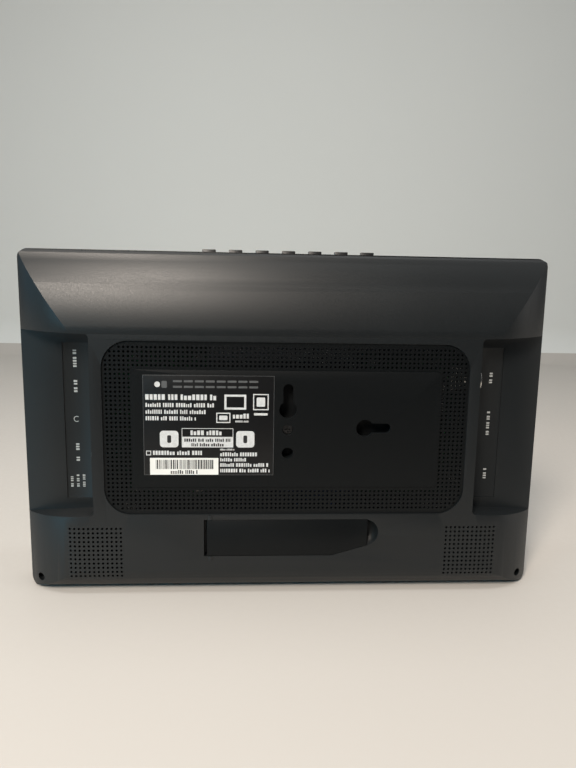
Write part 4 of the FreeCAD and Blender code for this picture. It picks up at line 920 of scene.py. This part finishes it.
def build_light():
    """A window high on the left, a long ceiling light, and a room that darkens towards the viewer."""
    middle = (0.0, 0.0, 0.09)
    area_light("window", (0.36, 0.78, 0.81), (0.09, 0.0, 0.15), (0.22, 0.40), 15.0, (1.0, 0.90, 0.80))
    area_light("ceiling", (0.0, -0.15, 1.45), (0.0, -0.15, 0.0), (1.6, 0.9), 4.0, (1.0, 0.985, 0.96))
    area_light("tube", (0.0, 0.16, 1.2), (0.0, 0.0, 0.1), (1.2, 0.1), 2.6, (0.96, 1.0, 1.0))
    area_light("teal_side", (1.0, 0.14, 0.25), middle, (0.4, 0.5), 0.45, (0.20, 0.68, 1.0))
    area_light("teal_front", (0.78, 0.70, 0.25), middle, (0.3, 0.5), 2.2, (0.25, 0.75, 1.0))
    area_light("pale_side", (-0.95, 0.30, 0.30), middle, (0.3, 0.7), 1.0, (1.0, 0.97, 0.93))
    world = bpy.data.worlds.new("room")
    bpy.context.scene.world = world
    world.use_nodes = True
    tree = world.node_tree
    background = tree.nodes["Background"]
    place = tree.nodes.new("ShaderNodeTexCoord")
    split = tree.nodes.new("ShaderNodeSeparateXYZ")
    rise = tree.nodes.new("ShaderNodeValToRGB")
    rise.color_ramp.elements[0].position = 0.0
    rise.color_ramp.elements[0].color = (0.10, 0.12, 0.14, 1.0)
    rise.color_ramp.elements[1].position = 0.8
    rise.color_ramp.elements[1].color = (0.66, 0.66, 0.65, 1.0)
    depth = tree.nodes.new("ShaderNodeValToRGB")
    depth.color_ramp.elements[0].position = 0.0
    depth.color_ramp.elements[0].color = (1.0, 1.0, 1.0, 1.0)
    depth.color_ramp.elements[1].position = 0.75
    depth.color_ramp.elements[1].color = (0.16, 0.17, 0.19, 1.0)
    both = tree.nodes.new("ShaderNodeMix")
    both.data_type = "RGBA"
    both.blend_type = "MULTIPLY"
    both.inputs["Factor"].default_value = 1.0
    tree.links.new(place.outputs["Generated"], split.inputs["Vector"])
    tree.links.new(split.outputs["Z"], rise.inputs["Fac"])
    tree.links.new(split.outputs["Y"], depth.inputs["Fac"])
    tree.links.new(rise.outputs["Color"], both.inputs["A"])
    tree.links.new(depth.outputs["Color"], both.inputs["B"])
    tree.links.new(both.outputs["Result"], background.inputs["Color"])
    background.inputs["Strength"].default_value = 1.0


def build_camera():
    """At the eye of someone who looks at the back, a little above its middle."""
    data = bpy.data.cameras.new("camera")
    data.sensor_width = 36.0
    data.lens = 27.05
    camera = bpy.data.objects.new("camera", data)
    camera.location = (0.0157, 0.2886, 0.1474)
    direction = Vector((-0.0554, -0.988, -0.1441))
    roll = Quaternion((0.0, 0.0, 1.0), math.radians(0.98))
    camera.rotation_mode = "QUATERNION"
    camera.rotation_quaternion = direction.to_track_quat("-Z", "Y") @ roll
    bpy.context.scene.collection.objects.link(camera)
    bpy.context.scene.camera = camera


finish_nodes()
build_cover()
build_keys()
build_label()
build_barcode()
build_legends()
build_contacts()
build_stage()
build_light()
build_camera()
bpy.context.scene.view_settings.view_transform = "Standard"
